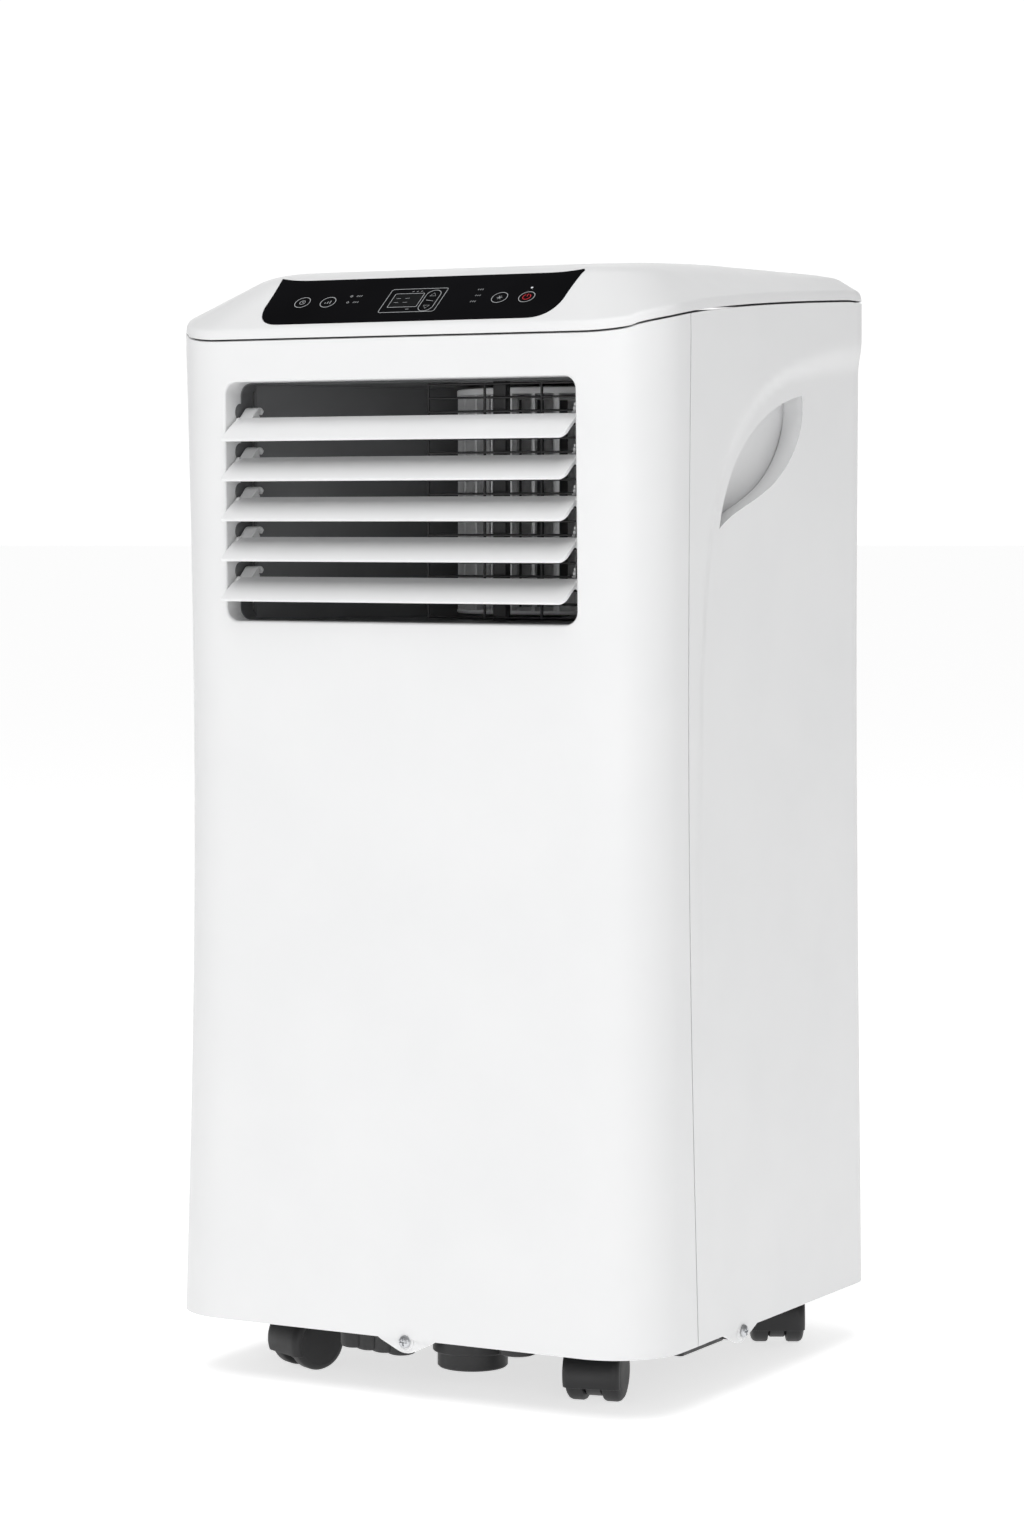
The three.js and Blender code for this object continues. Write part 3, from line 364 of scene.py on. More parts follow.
def new_object(name, shape):
    """An object with a shape's points and faces, without loose points and with its faces turned outward."""
    mesh = bpy.data.meshes.new(name)
    mesh.from_pydata([p * MM for p in shape.points], [], shape.faces)
    work = bmesh.new()
    work.from_mesh(mesh)
    bmesh.ops.delete(work, geom=[v for v in work.verts if not v.link_faces], context="VERTS")
    bmesh.ops.recalc_face_normals(work, faces=work.faces)
    work.to_mesh(mesh)
    work.free()
    thing = bpy.data.objects.new(name, mesh)
    bpy.context.scene.collection.objects.link(thing)
    return thing


def weight_normals(piece, crease):
    """Shades a piece smooth between the edges that are sharper than the crease angle."""
    piece.data.set_sharp_from_angle(angle=math.radians(crease))
    weighted = piece.modifiers.new("normals", "WEIGHTED_NORMAL")
    weighted.keep_sharp = True
    weighted.weight = 80


def make_piece(name, shape, body, slot, stands_for=(), crease=CREASE_ANGLE, bevel=0.0, bevel_angle=60):
    """Turns a shape into a finished object that rides on a body."""
    piece = new_object(name, shape)
    piece.data.shade_smooth()
    if bevel > 0:
        rounding = piece.modifiers.new("edges", "BEVEL")
        rounding.width = bevel * MM
        rounding.segments = 2
        rounding.limit_method = "ANGLE"
        rounding.angle_limit = math.radians(bevel_angle)
        rounding.use_clamp_overlap = True
        rounding.harden_normals = False
        bake(piece)
    weight_normals(piece, crease)
    piece.data.materials.append(MATERIALS[slot])
    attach(piece, body)
    if stands_for:
        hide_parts(*stands_for)
    return piece


def bake(piece):
    """Applies a piece's modifiers to its mesh."""
    bpy.context.view_layer.update()
    evaluated = piece.evaluated_get(bpy.context.evaluated_depsgraph_get())
    finished = bpy.data.meshes.new_from_object(evaluated)
    piece.modifiers.clear()
    piece.data = finished


def carve(piece, cutter_shape):
    """Cuts a closed shape out of a piece."""
    cutter = new_object("cutter", cutter_shape)
    boolean = piece.modifiers.new("cut", "BOOLEAN")
    boolean.operation = "DIFFERENCE"
    boolean.solver = "EXACT"
    boolean.object = cutter
    normals = [m for m in piece.modifiers if m.type == "WEIGHTED_NORMAL"]
    for modifier in normals:
        piece.modifiers.remove(modifier)
    bake(piece)
    bpy.data.objects.remove(cutter)
    weight_normals(piece, CREASE_ANGLE)


# ------------------------------------------------------------------ materials
MATERIALS = {}


def moulded(slot, colour, tint, rough, rough_swing, grain, grain_depth, wave_depth=0.0, metal=0.0, coat=0.0,
            specular=0.5):
    """A moulded, painted or metal surface: uneven colour and gloss, a fine grain and a slow waviness."""
    material = bpy.data.materials.new(slot)
    material.use_nodes = True
    nodes, links = material.node_tree.nodes, material.node_tree.links
    shader = nodes["Principled BSDF"]
    shader.inputs["Metallic"].default_value = metal
    shader.inputs["Coat Weight"].default_value = coat
    shader.inputs["Coat Roughness"].default_value = 0.06
    shader.inputs["Specular IOR Level"].default_value = specular
    place = nodes.new("ShaderNodeTexCoord")

    def noise(scale, detail):
        texture = nodes.new("ShaderNodeTexNoise")
        texture.inputs["Scale"].default_value = scale
        texture.inputs["Detail"].default_value = detail
        links.new(place.outputs["Object"], texture.inputs["Vector"])
        return texture.outputs["Fac"]

    def remap(value, low, high):
        node = nodes.new("ShaderNodeMapRange")
        node.inputs["From Min"].default_value = 0.3
        node.inputs["From Max"].default_value = 0.7
        node.inputs["To Min"].default_value = low
        node.inputs["To Max"].default_value = high
        links.new(value, node.inputs["Value"])
        return node.outputs["Result"]

    mix = nodes.new("ShaderNodeMix")
    mix.data_type = "RGBA"
    mix.inputs["A"].default_value = (*colour, 1)
    mix.inputs["B"].default_value = (*tint, 1)
    links.new(remap(noise(14, 3), 0, 1), mix.inputs["Factor"])
    links.new(mix.outputs["Result"], shader.inputs["Base Color"])
    links.new(remap(noise(45, 4), rough - rough_swing, rough + rough_swing), shader.inputs["Roughness"])
    fine = nodes.new("ShaderNodeBump")
    fine.inputs["Strength"].default_value = 1.0
    fine.inputs["Distance"].default_value = grain_depth * MM
    links.new(noise(grain, 2), fine.inputs["Height"])
    if wave_depth > 0:
        slow = nodes.new("ShaderNodeBump")
        slow.inputs["Distance"].default_value = wave_depth * MM
        links.new(noise(9, 1), slow.inputs["Height"])
        links.new(slow.outputs["Normal"], fine.inputs["Normal"])
    links.new(fine.outputs["Normal"], shader.inputs["Normal"])
    MATERIALS[slot] = material


def make_materials():
    moulded("white_abs", (0.785, 0.787, 0.79), (0.765, 0.768, 0.772), 0.36, 0.05, 2600, 0.010, 0.05)
    moulded("gloss_black", (0.003, 0.003, 0.0035), (0.005, 0.005, 0.006), 0.16, 0.04, 900, 0.002,
            specular=0.015)
    moulded("smoked_window", (0.006, 0.0065, 0.007), (0.01, 0.0105, 0.011), 0.12, 0.03, 900, 0.002,
            specular=0.04)
    moulded("black_plastic", (0.009, 0.009, 0.01), (0.015, 0.015, 0.016), 0.44, 0.08, 1700, 0.05, 0.06)
    moulded("caster_tread", (0.008, 0.008, 0.009), (0.013, 0.013, 0.014), 0.5, 0.08, 2200, 0.05, 0.05)
    moulded("dark_plastic", (0.115, 0.117, 0.12), (0.14, 0.142, 0.146), 0.42, 0.08, 1500, 0.05, 0.12)
    moulded("grey_plastic", (0.8, 0.805, 0.81), (0.73, 0.735, 0.74), 0.4, 0.08, 1600, 0.04, 0.05)
    moulded("bare_steel", (0.55, 0.56, 0.57), (0.48, 0.485, 0.49), 0.32, 0.1, 900, 0.02, 0.0, metal=1)
    moulded("zinc_steel", (0.62, 0.63, 0.64), (0.5, 0.51, 0.53), 0.34, 0.12, 700, 0.03, 0.0, metal=1)
    moulded("coil_aluminium", (0.66, 0.67, 0.68), (0.56, 0.57, 0.58), 0.4, 0.1, 800, 0.03, 0.0, metal=1)
    moulded("copper_pipe", (0.72, 0.35, 0.2), (0.55, 0.26, 0.15), 0.33, 0.1, 700, 0.02, 0.0, metal=1)
    moulded("black_enamel", (0.012, 0.012, 0.013), (0.02, 0.02, 0.021), 0.25, 0.08, 700, 0.03, 0.1, coat=0.3)
    moulded("circuit_board", (0.01, 0.09, 0.03), (0.015, 0.06, 0.02), 0.4, 0.1, 600, 0.04)
    moulded("filter_mesh", (0.03, 0.031, 0.034), (0.05, 0.05, 0.055), 0.6, 0.1, 1400, 0.04)
    moulded("print_grey", (0.42, 0.43, 0.44), (0.36, 0.37, 0.38), 0.45, 0.05, 1500, 0.003)
    moulded("print_red", (0.55, 0.012, 0.02), (0.45, 0.01, 0.018), 0.45, 0.05, 1500, 0.003)
    moulded("lamp_white", (0.8, 0.82, 0.85), (0.7, 0.72, 0.76), 0.3, 0.05, 1500, 0.003)


# ------------------------------------------------------------------ cabinet form
def seam_height(y):
    """The seam under the lid: a slight rise round the front corners, a kink, then a curve up to the rear."""
    back = max(0, y - BODY_FRONT)
    if back < KINK_BACK:
        return SEAM_FRONT + KINK_RISE * back / KINK_BACK
    t = min(1, (back - KINK_BACK) / SEAM_REACH)
    climb = SEAM_REAR - SEAM_FRONT - KINK_RISE
    return SEAM_FRONT + KINK_RISE + climb * (1.35 * t ** 0.65 - 0.35 * t)


def backness(y):
    return clamp((y - BODY_FRONT) / BODY_DEPTH)


def waist(z):
    return math.sin(math.pi * clamp((z - SHELL_BOTTOM) / (SEAM_FRONT - SHELL_BOTTOM)))


def form(x, y, z):
    """A point of the upright cabinet, drawn in at mid height as the mouldings are."""
    bow, v = waist(z), backness(y)
    side = lerp(WAIST_FRONT, WAIST_REAR, v) * bow
    return Vector((x * (1 - side / HALF_WIDTH), y + WAIST_FRONT * (1 - v) * bow, z))


def split_y(z, inset):
    """Where the leaning joint between the shells meets the upright cabinet, shifted by inset."""
    lean = (SPLIT_TOP - SPLIT_BOTTOM) / (SEAM_FRONT - SHELL_BOTTOM)
    edge = SPLIT_BOTTOM + lean * (z - SHELL_BOTTOM) + inset
    pull = WAIST_FRONT * waist(z)
    return (edge - pull * (1 + BODY_FRONT / BODY_DEPTH)) / (1 - pull / BODY_DEPTH)


def corner_columns(radius, start, end, steps, cx, cy):
    """Columns round a corner: base points for an inset wall, at angles in degrees."""
    def column(angle):
        s, c = sin_cos(angle)
        return lambda inset, z: (cx + (radius - inset) * c, cy + (radius - inset) * s)
    return [column(a) for a in spread(start, end, steps)]


SEARCH_START = 300           # any height on the wall will do to start the search from


def sheet_point(column, t, inset):
    """The point of a wall at a column and a height share t, for the outer (inset 0) or inner face."""
    z = SHELL_BOTTOM + SEARCH_START
    for _ in range(3):
        x, y = column(inset, z)
        z = lerp(SHELL_BOTTOM, seam_height(y) - SEAM_GAP / 2, t)
    x, y = column(inset, z)
    return form(x, y, z)


def sheet(shape, columns, rows, inset, dent=None):
    grid = []
    for t in rows:
        points = [sheet_point(column, t, inset) for column in columns]
        if dent:
            points = [dent(p) for p in points]
        grid.append(shape.ring(points))
    return grid


def fill_sheet(shape, grid, skipped):
    for r in range(len(grid) - 1):
        for c in range(len(grid[0]) - 1):
            if not any(r0 <= r < r1 and c0 <= c < c1 for r0, r1, c0, c1 in skipped):
                shape.faces.append((grid[r][c], grid[r][c + 1], grid[r + 1][c + 1], grid[r + 1][c]))


def open_block(shape, grid, block, flatten, loops, lift, clear):
    """Rebuilds a block of a sheet around openings and returns each opening's ring of points."""
    r0, r1, c0, c1 = block
    rim = [grid[r0][c] for c in range(c0, c1)] + [grid[r][c1] for r in range(r0, r1)]
    rim += [grid[r1][c] for c in range(c1, c0, -1)] + [grid[r][c0] for r in range(r1, r0, -1)]
    border = [flatten(shape.points[i]) for i in rim]
    inner = [grid[r][c] for r in range(r0 + 1, r1) for c in range(c0 + 1, c1)]
    kept = []
    for i in inner:
        place = flatten(shape.points[i])
        if all(not inside(loop, place) and gap_to(loop, place) > clear for loop in loops):
            kept.append(i)
    rings = [shape.ring(lift(u, v) for u, v in loop) for loop in loops]
    extra = [flatten(shape.points[i]) for i in kept]
    triangulate(shape, [border, *loops], [rim, *rings], extra, kept)
    return rings


def border_ring(grid):
    last = len(grid[0]) - 1
    ring = list(grid[0]) + [row[last] for row in grid[1:]]
    ring += list(reversed(grid[-1][:last])) + [row[0] for row in reversed(grid[1:-1])]
    return ring


def height_share(z):
    """A height on the front wall as a share of the way from its foot to the seam."""
    return (z - SHELL_BOTTOM) / (SEAM_FRONT - SEAM_GAP / 2 - SHELL_BOTTOM)


def rows_with(marks, count):
    """Height shares from 0 to 1, with the marks (in mm of height on the front) among them."""
    rows = spread(0, 1, count)
    for z in marks:
        t = height_share(z)
        nearest = min(range(1, count), key=lambda i: abs(rows[i] - t))
        rows[nearest] = t
    return rows


def nearest_row(rows, z):
    t = height_share(z)
    return min(range(len(rows)), key=lambda i: abs(rows[i] - t))


def outlet_loop(grow):
    half = OUTLET["half"] + grow
    return rounded_loop(-half, half, OUTLET["low"] - grow, OUTLET["high"] + grow, OUTLET["radius"] + grow, 8)


def front_surface(x, z, inset):
    """The point of the front wall above a place in X and Z."""
    flat_half = HALF_WIDTH - FRONT_RADIUS
    y = BODY_FRONT + inset
    for _ in range(3):
        side = lerp(WAIST_FRONT, WAIST_REAR, backness(y)) * waist(z)
        base = abs(x) / (1 - side / HALF_WIDTH)
        radius = FRONT_RADIUS - inset
        over = clamp(base - flat_half, 0, radius)
        y = BODY_FRONT + FRONT_RADIUS - math.sqrt(radius ** 2 - over ** 2)
    return Vector((x, form(0, y, z).y, z))


def lug_loop(centre, half):
    points = [(centre - half, SHELL_BOTTOM + 3), (centre - half, SHELL_BOTTOM - 0.4),
              (centre, SHELL_BOTTOM - LUG_DROP - 1.4),
              (centre + half, SHELL_BOTTOM - 0.4), (centre + half, SHELL_BOTTOM + 3)]
    eased = round_corners(points, [0.5, 4, 7, 4, 0.5], 5, closed=True)
    return [tuple(p) for p in eased]


def make_front_shell():
    shape = Shape()
    flat_half = HALF_WIDTH - FRONT_RADIUS

    def flat(x):
        return lambda inset, z: (x, BODY_FRONT + inset)

    def side(sign, share):
        def column(inset, z):
            start, end = BODY_FRONT + FRONT_RADIUS, split_y(z, -SEAM_GAP / 2)
            return (sign * (HALF_WIDTH - inset), lerp(start, end, share))
        return column

    corner_y = BODY_FRONT + FRONT_RADIUS
    columns = [side(-1, s) for s in (1, 0.75, 0.5, 0.25)]
    columns += corner_columns(FRONT_RADIUS, 180, 270, 20, -flat_half, corner_y)[:-1]
    first_flat = len(columns)
    columns += [flat(x) for x in spread(-flat_half, flat_half, 20)]
    last_flat = len(columns) - 1
    columns += corner_columns(FRONT_RADIUS, 270, 360, 20, flat_half, corner_y)[1:]
    columns += [side(1, s) for s in (0.25, 0.5, 0.75, 1)]
    low, high = OUTLET["low"] - 8, OUTLET["high"] + 8
    rows = rows_with((low, high), 56)
    block = (nearest_row(rows, low), nearest_row(rows, high), first_flat - 1, last_flat + 1)
    rims, grids = [], []
    edge = 1.6
    for inset in (0, WALL):
        grid = sheet(shape, columns, rows, inset)
        fill_sheet(shape, grid, [block])
        grow = edge if inset == 0 else WALL
        rim = open_block(shape, grid, block, lambda p: (p.x, p.z), [outlet_loop(grow)],
                         lambda x, z: front_surface(x, z, inset), 4)[0]
        grids.append(border_ring(grid))
        rims.append(rim)
    shape.bridge(*grids)
    rings = [rims[0]]
    for a in (22.5, 45, 67.5, 90):
        s, c = sin_cos(a)
        places = [front_surface(x, z, 0) for x, z in outlet_loop(edge)]
        moved = outlet_loop(edge * (1 - s))
        rings.append(shape.ring((x, p.y + edge * (1 - c), z) for (x, z), p in zip(moved, places)))
    back = BODY_FRONT + OUTLET["wall_depth"]
    rings.append(shape.ring((x, back, z) for x, z in outlet_loop(0)))
    rings.append(shape.ring((x, back, z) for x, z in outlet_loop(WALL)))
    rings.append(rims[1])
    shape.bridge_all(rings)
    lug_face = BODY_FRONT + LUG_INSET
    hole = clockwise(circle_loop(FRONT_LUG_X, LUG_SCREW_Z, 2.3, 16))
    plate(shape, [lug_loop(FRONT_LUG_X, 21), hole], along_y, lug_face, lug_face + 2.2, 0.5)
    ring = circle_loop(FRONT_LUG_X, LUG_SCREW_Z, LUG_RING, 32)
    plate(shape, [ring, hole], along_y, BODY_FRONT + 0.2, lug_face + 1, 0.3)
    make_piece("front_cover", shape, "cabinet", "white_abs", ["front_shell"], bevel=EDGE_ROUND)


# the styling crease on each side: it rises behind the shell joint and sweeps back over the grip
CREASE = [
    (-96, 40), (-96, 330), (-93.5, 440), (-86, 515), (-73, 560), (-52, 592), (-22, 616), (12, 632), (46, 642),
    (100, 654), (168, 662),
]
CREASE_LOW = 60              # below this height the step keeps its least depth
CREASE_GROWTH = 460          # it deepens over this height
CREASE_DEPTHS = (0.3, 2.4)
CREASE_WIDTHS = (6, 22)      # how wide the step is at the grip and at the rear
CREASE_SOFTENS = 0.7         # the share of the crease's length where it starts to widen


def crease_curve():
    points = [Vector(p) for p in CREASE]
    curve = []
    for i in range(len(points) - 1):
        before = points[max(i - 1, 0)]
        after = points[min(i + 2, len(points) - 1)]
        a, b = points[i], points[i + 1]
        reach = (b - a).length / 3
        lead = (b - before).normalized() * reach
        trail = (after - a).normalized() * reach
        curve += [Vector(p) for p in cubic(a, a + lead, b - trail, b, 10)]
    return curve


CREASE_CURVE = crease_curve()


def crease_depth(y, z):
    """How far the side sinks at a place: a step behind the crease, sharp at the grip and soft at the rear."""
    best, side, along = 1e9, 0, 0
    for i in range(len(CREASE_CURVE) - 1):
        a, b = CREASE_CURVE[i], CREASE_CURVE[i + 1]
        direction = b - a
        if direction.length_squared < 1e-9:
            continue
        t = clamp((Vector((y, z)) - a).dot(direction) / direction.length_squared)
        gap = (Vector((y, z)) - a - direction * t).length
        if gap < best:
            best = gap
            side = direction.x * (z - a.y) - direction.y * (y - a.x)
            along = (i + t) / (len(CREASE_CURVE) - 1)
    if side > 0:
        return 0.0
    depth = lerp(*CREASE_DEPTHS, smooth((z - CREASE_LOW) / CREASE_GROWTH))
    return depth * smooth(best / lerp(*CREASE_WIDTHS, smooth((along - CREASE_SOFTENS) / 0.3)))


def side_dent(p, inset=0.0):
    """Sinks a point of the side wall by the crease's step, less and less round the rear corner."""
    reach = smooth((abs(p.x) + inset - HALF_WIDTH + 14) / 8)
    if reach == 0 or p.y < SPLIT_BOTTOM - 12:
        return p
    return Vector((p.x - math.copysign(crease_depth(p.y, p.z) * reach, p.x), p.y, p.z))


def grip_loop(grow, lift=0.0):
    """The mouth of the hand grip in Y and Z, anticlockwise seen from +X."""
    top = cubic((-68 - grow, 533 - grow), (-60 - grow, 575 + grow), (-22, 612 + grow), (51, 622 + grow), 22)
    rear = cubic((51, 622 + grow), (60 + grow, 600), (38 + grow, 574 - grow), (4, 560 - grow), 16)
    low = cubic((4, 560 - grow), (-26, 548 - grow), (-50, 545 - grow), (-68 - grow, 533 - grow), 14)
    loop = [(y, z + lift) for y, z in top[:-1] + rear[:-1] + low[:-1]]
    return clockwise(loop)


GRIP_DEPTH = 18.5
GRIP_RIM = 1.2
GRIP_FILLET = 2.2
GRIP_LIFT = 7.5
GRIP_FRONT = (-68, 533)      # the mouth's two corners, in Y and Z
GRIP_REAR = (51, 622)
GRIP_LIFT_BAND = 18          # the lift is full this far above the line between the corners


def grip_lift(y, z):
    """How far the pocket reaches up behind its upper edge: not at all at the corners or the lower edge."""
    share = (y - GRIP_FRONT[0]) / (GRIP_REAR[0] - GRIP_FRONT[0])
    return GRIP_LIFT * smooth((z - lerp(GRIP_FRONT[1], GRIP_REAR[1], share)) / GRIP_LIFT_BAND)


def side_surface(sign, y, z, inset):
    """The point of a side wall above a place in Y and Z."""
    bow = waist(z)
    base = y
    for _ in range(3):
        base = y - WAIST_FRONT * (1 - backness(base)) * bow
    point = form(sign * (HALF_WIDTH - inset), base, z)
    point.y = y
    return side_dent(point, inset)


def grip_rings(shape, sign, inset, mouth):
    """The pocket of a hand grip, from its mouth ring to its floor, undercut behind the upper edge."""
    outline = grip_loop(inset)
    rings = [mouth]
    if inset == 0:
        for angle in (30, 60, 90):
            s, c = sin_cos(angle)
            moved = offset_loop(outline, GRIP_RIM * (1 - s))
            rings.append(shape.ring(
                side_surface(sign, y, z, 0) - Vector((sign * GRIP_RIM * (1 - c), 0, 0)) for y, z in moved))
    rim = [abs(side_surface(sign, y, z, inset).x) - GRIP_RIM for y, z in outline]
    bottom = HALF_WIDTH - GRIP_DEPTH - inset
    for share, lifted in ((0.12, 0), (0.25, 0), (0.36, 0.9), (0.5, 1), (0.75, 1), (1, 1)):
        moved = offset_loop(outline, -share)
        rings.append(shape.ring(
            (sign * lerp(x, bottom + GRIP_FILLET, share), y, z + lifted * grip_lift(y, z))
            for x, (y, z) in zip(rim, moved)))
    for angle in (30, 60, 90):
        s, c = sin_cos(angle)
        moved = offset_loop(outline, -1 - GRIP_FILLET * (1 - c))
        x = sign * (bottom + GRIP_FILLET * (1 - s))
        rings.append(shape.ring((x, y, z + grip_lift(y, z)) for y, z in moved))
    floor = [shape.points[i] for i in rings[-1]]
    middle = sum(floor, Vector()) / len(floor)
    for shrink in (0.8, 0.6, 0.35):
        rings.append(shape.ring(middle + (point - middle) * shrink for point in floor))
    shape.bridge_all(rings)
    shape.fan(rings[-1], shape.add(middle))


def rear_openings():
    """The holes through the back wall, in X and Z."""
    loops = []
    for opening in (UPPER_INTAKE, LOWER_INTAKE):
        half = opening["half"]
        loops.append(clockwise(rounded_loop(-half, half, opening["low"], opening["high"], 10)))
    loops.append(clockwise(circle_loop(0, EXHAUST_Z, EXHAUST_RADIUS + EXHAUST_WALL + CAD_GAP, 64)))
    for node, radius in (("upper_drain_cap", 9.3), ("lower_drain_cap", 9.3), ("cord_gland", 8.3)):
        x, z = centre_xz(node)
        loops.append(clockwise(circle_loop(x, z, radius, 24)))
    return loops


def centre_xz(node):
    low, high = box_mm(node)
    return (low.x + high.x) / 2, (low.z + high.z) / 2


def make_rear_shell():
    shape = Shape()
    rear_flat = HALF_WIDTH - REAR_RADIUS
    side_end = BODY_REAR - REAR_RADIUS

    def side(sign, share):
        def column(inset, z):
            return (sign * (HALF_WIDTH - inset), lerp(split_y(z, SEAM_GAP / 2), side_end, share))
        return column

    def back(x):
        return lambda inset, z: (x, BODY_REAR - inset)

    steps = 58
    columns = [side(1, s) for s in spread(0, 1, steps)]
    columns += corner_columns(REAR_RADIUS, 0, 90, 12, rear_flat, side_end)[1:]
    first_back = len(columns) - 1
    columns += [back(x) for x in spread(rear_flat, -rear_flat, 12)[1:]]
    last_back = len(columns) - 1
    columns += corner_columns(REAR_RADIUS, 90, 180, 12, -rear_flat, side_end)[1:]
    left_side = len(columns) - 1
    columns += [side(-1, s) for s in spread(1, 0, steps)[1:]]
    rows = spread(0, 1, 150)
    low, high = nearest_row(rows, 505), nearest_row(rows, 633)
    grip_from, grip_to = 4, 48
    right_block = (low, high, grip_from, grip_to)
    left_block = (low, high, left_side + steps - grip_to, left_side + steps - grip_from)
    back_block = (2, len(rows) - 6, first_back, last_back)
    rings, borders = [], []
    for inset in (0, WALL):
        grid = sheet(shape, columns, rows, inset, lambda p: side_dent(p, inset))
        fill_sheet(shape, grid, [right_block, left_block, back_block])
        for sign, block in ((1, right_block), (-1, left_block)):
            hole = grip_loop(inset) if inset else offset_loop(grip_loop(0), GRIP_RIM)
            mouth = open_block(shape, grid, block, lambda p: (p.y, p.z), [hole],
                               lambda y, z: side_surface(sign, y, z, inset), 2.5)[0]
            grip_rings(shape, sign, inset, mouth)
        rings.append(open_block(shape, grid, back_block, lambda p: (p.x, p.z), rear_openings(),
                                lambda x, z: Vector((x, BODY_REAR - inset, z)), 3))
        borders.append(border_ring(grid))
    shape.bridge(*borders)
    for outer, inner in zip(*rings):
        shape.bridge(outer, inner)
    for sign in (1, -1):
        face = sign * (HALF_WIDTH - LUG_INSET - 0.4)
        hole = clockwise(circle_loop(SIDE_LUG_Y, LUG_SCREW_Z, 2.3, 16))
        plate(shape, [lug_loop(SIDE_LUG_Y, 25), hole], along_x, face, face - sign * 2.2, 0.5)
        ring = circle_loop(SIDE_LUG_Y, LUG_SCREW_Z, LUG_RING, 32)
        plate(shape, [ring, hole], along_x, sign * (HALF_WIDTH - 0.4), face - sign, 0.3)
    make_piece("rear_cover", shape, "cabinet", "white_abs", ["rear_shell"], bevel=EDGE_ROUND, bevel_angle=65)


# ------------------------------------------------------------------ lid and control panel
def body_outline(inset):
    """Base points round the cabinet, anticlockwise seen from above."""
    fx, fy = HALF_WIDTH - FRONT_RADIUS, BODY_FRONT + FRONT_RADIUS
    rx, ry = HALF_WIDTH - REAR_RADIUS, BODY_REAR - REAR_RADIUS
    half = HALF_WIDTH - inset
    points = [(x, BODY_FRONT + inset) for x in spread(-fx, fx, 24)]
    points += arc(fx, fy, FRONT_RADIUS - inset, -90, 0, 18)[1:]
    points += [(half, y) for y in spread(fy, ry, 44)[1:]]
    points += arc(rx, ry, REAR_RADIUS - inset, 0, 90, 12)[1:]
    points += [(x, BODY_REAR - inset) for x in spread(rx, -rx, 20)[1:]]
    points += arc(-rx, ry, REAR_RADIUS - inset, 90, 180, 12)[1:]
    points += [(-half, y) for y in spread(ry, fy, 44)[1:]]
    points += arc(-fx, fy, FRONT_RADIUS - inset, 180, 270, 18)[1:-1]
    return points


LID_CENTRE_Y = 7


def crown_height(y):
    """The height of the lid's top at a place in Y."""
    front = FACET_TOP_Y + 16
    middle = (BODY_FRONT + BODY_REAR) / 2 + 12
    share = clamp((y - front) / (middle - front))
    return lerp(CROWN_FRONT_Z, OVERALL_HEIGHT, 1 - (1 - share) ** 1.6)


def lid_profile(x, y, drop):
    """The lid's section from its lower edge up to the crown, for one base point of its outline."""
    v = backness(y)
    facet = FACET_TOP_Y - BODY_FRONT

    def pulled(half_front, half_rear, front, rear, z):
        narrowed = x * (1 - lerp(half_front, half_rear, v) / HALF_WIDTH)
        return Vector((narrowed, lerp(y + front, y - rear, v), z - drop))

    foot = pulled(0, 0, 0, 0, seam_height(y) + SEAM_GAP / 2 + drop)
    lip = pulled(0.8, 0.8, 1, 1, seam_height(y) + LIP_HEIGHT)
    shoulder = pulled(37, 12, facet, 14, lerp(FACET_TOP_Z, OVERALL_HEIGHT - 2.4, v))
    brow = pulled(50, 27, facet + 16, 30, 0)
    brow.z = crown_height(brow.y) - drop
    centre = Vector((0, LID_CENTRE_Y, 0))
    inner = centre + (brow - centre) * 0.82
    inner.z = crown_height(inner.y) - drop
    points = round_corners([foot, lip, shoulder, brow, inner], [0, 2.4, lerp(7, 3, v), 12, 0], 6)
    for scale in (0.6, 0.38, 0.18):
        place = centre + (brow - centre) * scale
        place.z = crown_height(place.y) - drop
        points.append(place)
    return points


def make_lid():
    shape = Shape()
    feet = []
    for inset in (0, WALL):
        sections = [lid_profile(x, y, inset) for x, y in body_outline(inset)]
        rings = [shape.ring(level) for level in zip(*sections)]
        shape.bridge_all(rings)
        shape.fan(rings[-1], shape.add((0, LID_CENTRE_Y, crown_height(LID_CENTRE_Y) - inset)))
        feet.append(rings[0])
    shape.bridge(*feet)
    lid = make_piece("lid", shape, "cabinet", "white_abs", ["top_lid"], crease=40, bevel=0.5)
    seat = Shape()
    plate(seat, [overlay_loop(CAD_GAP)], on_panel, -6.5, 4, 0.2, 1)
    carve(lid, seat)


PANEL_FOOT = (0, BODY_FRONT + 1, SEAM_FRONT + LIP_HEIGHT)
PANEL = Matrix.Translation(PANEL_FOOT) @ Matrix.Rotation(FACET_ANGLE, 4, "X")


def on_panel(u, v, w):
    """A place on the control panel: across, up the facet, and out of it."""
    return PANEL @ Vector((u, v, w))


OVERLAY_TOP = 0.5
OVERLAY_THICKNESS = 1.6
KEYS = {
    "key_timer": (-80.5, 27.5, 5.6), "key_speed": (-61.5, 27, 5.6), "key_up": (12.6, 31.5, 4.3),
    "key_down": (12.6, 19.5, 4.3), "key_mode": (61.5, 26.5, 5.6), "key_power": (80.5, 26.3, 5.6),
}
WINDOW = (-14.5, 5, 20, 33)


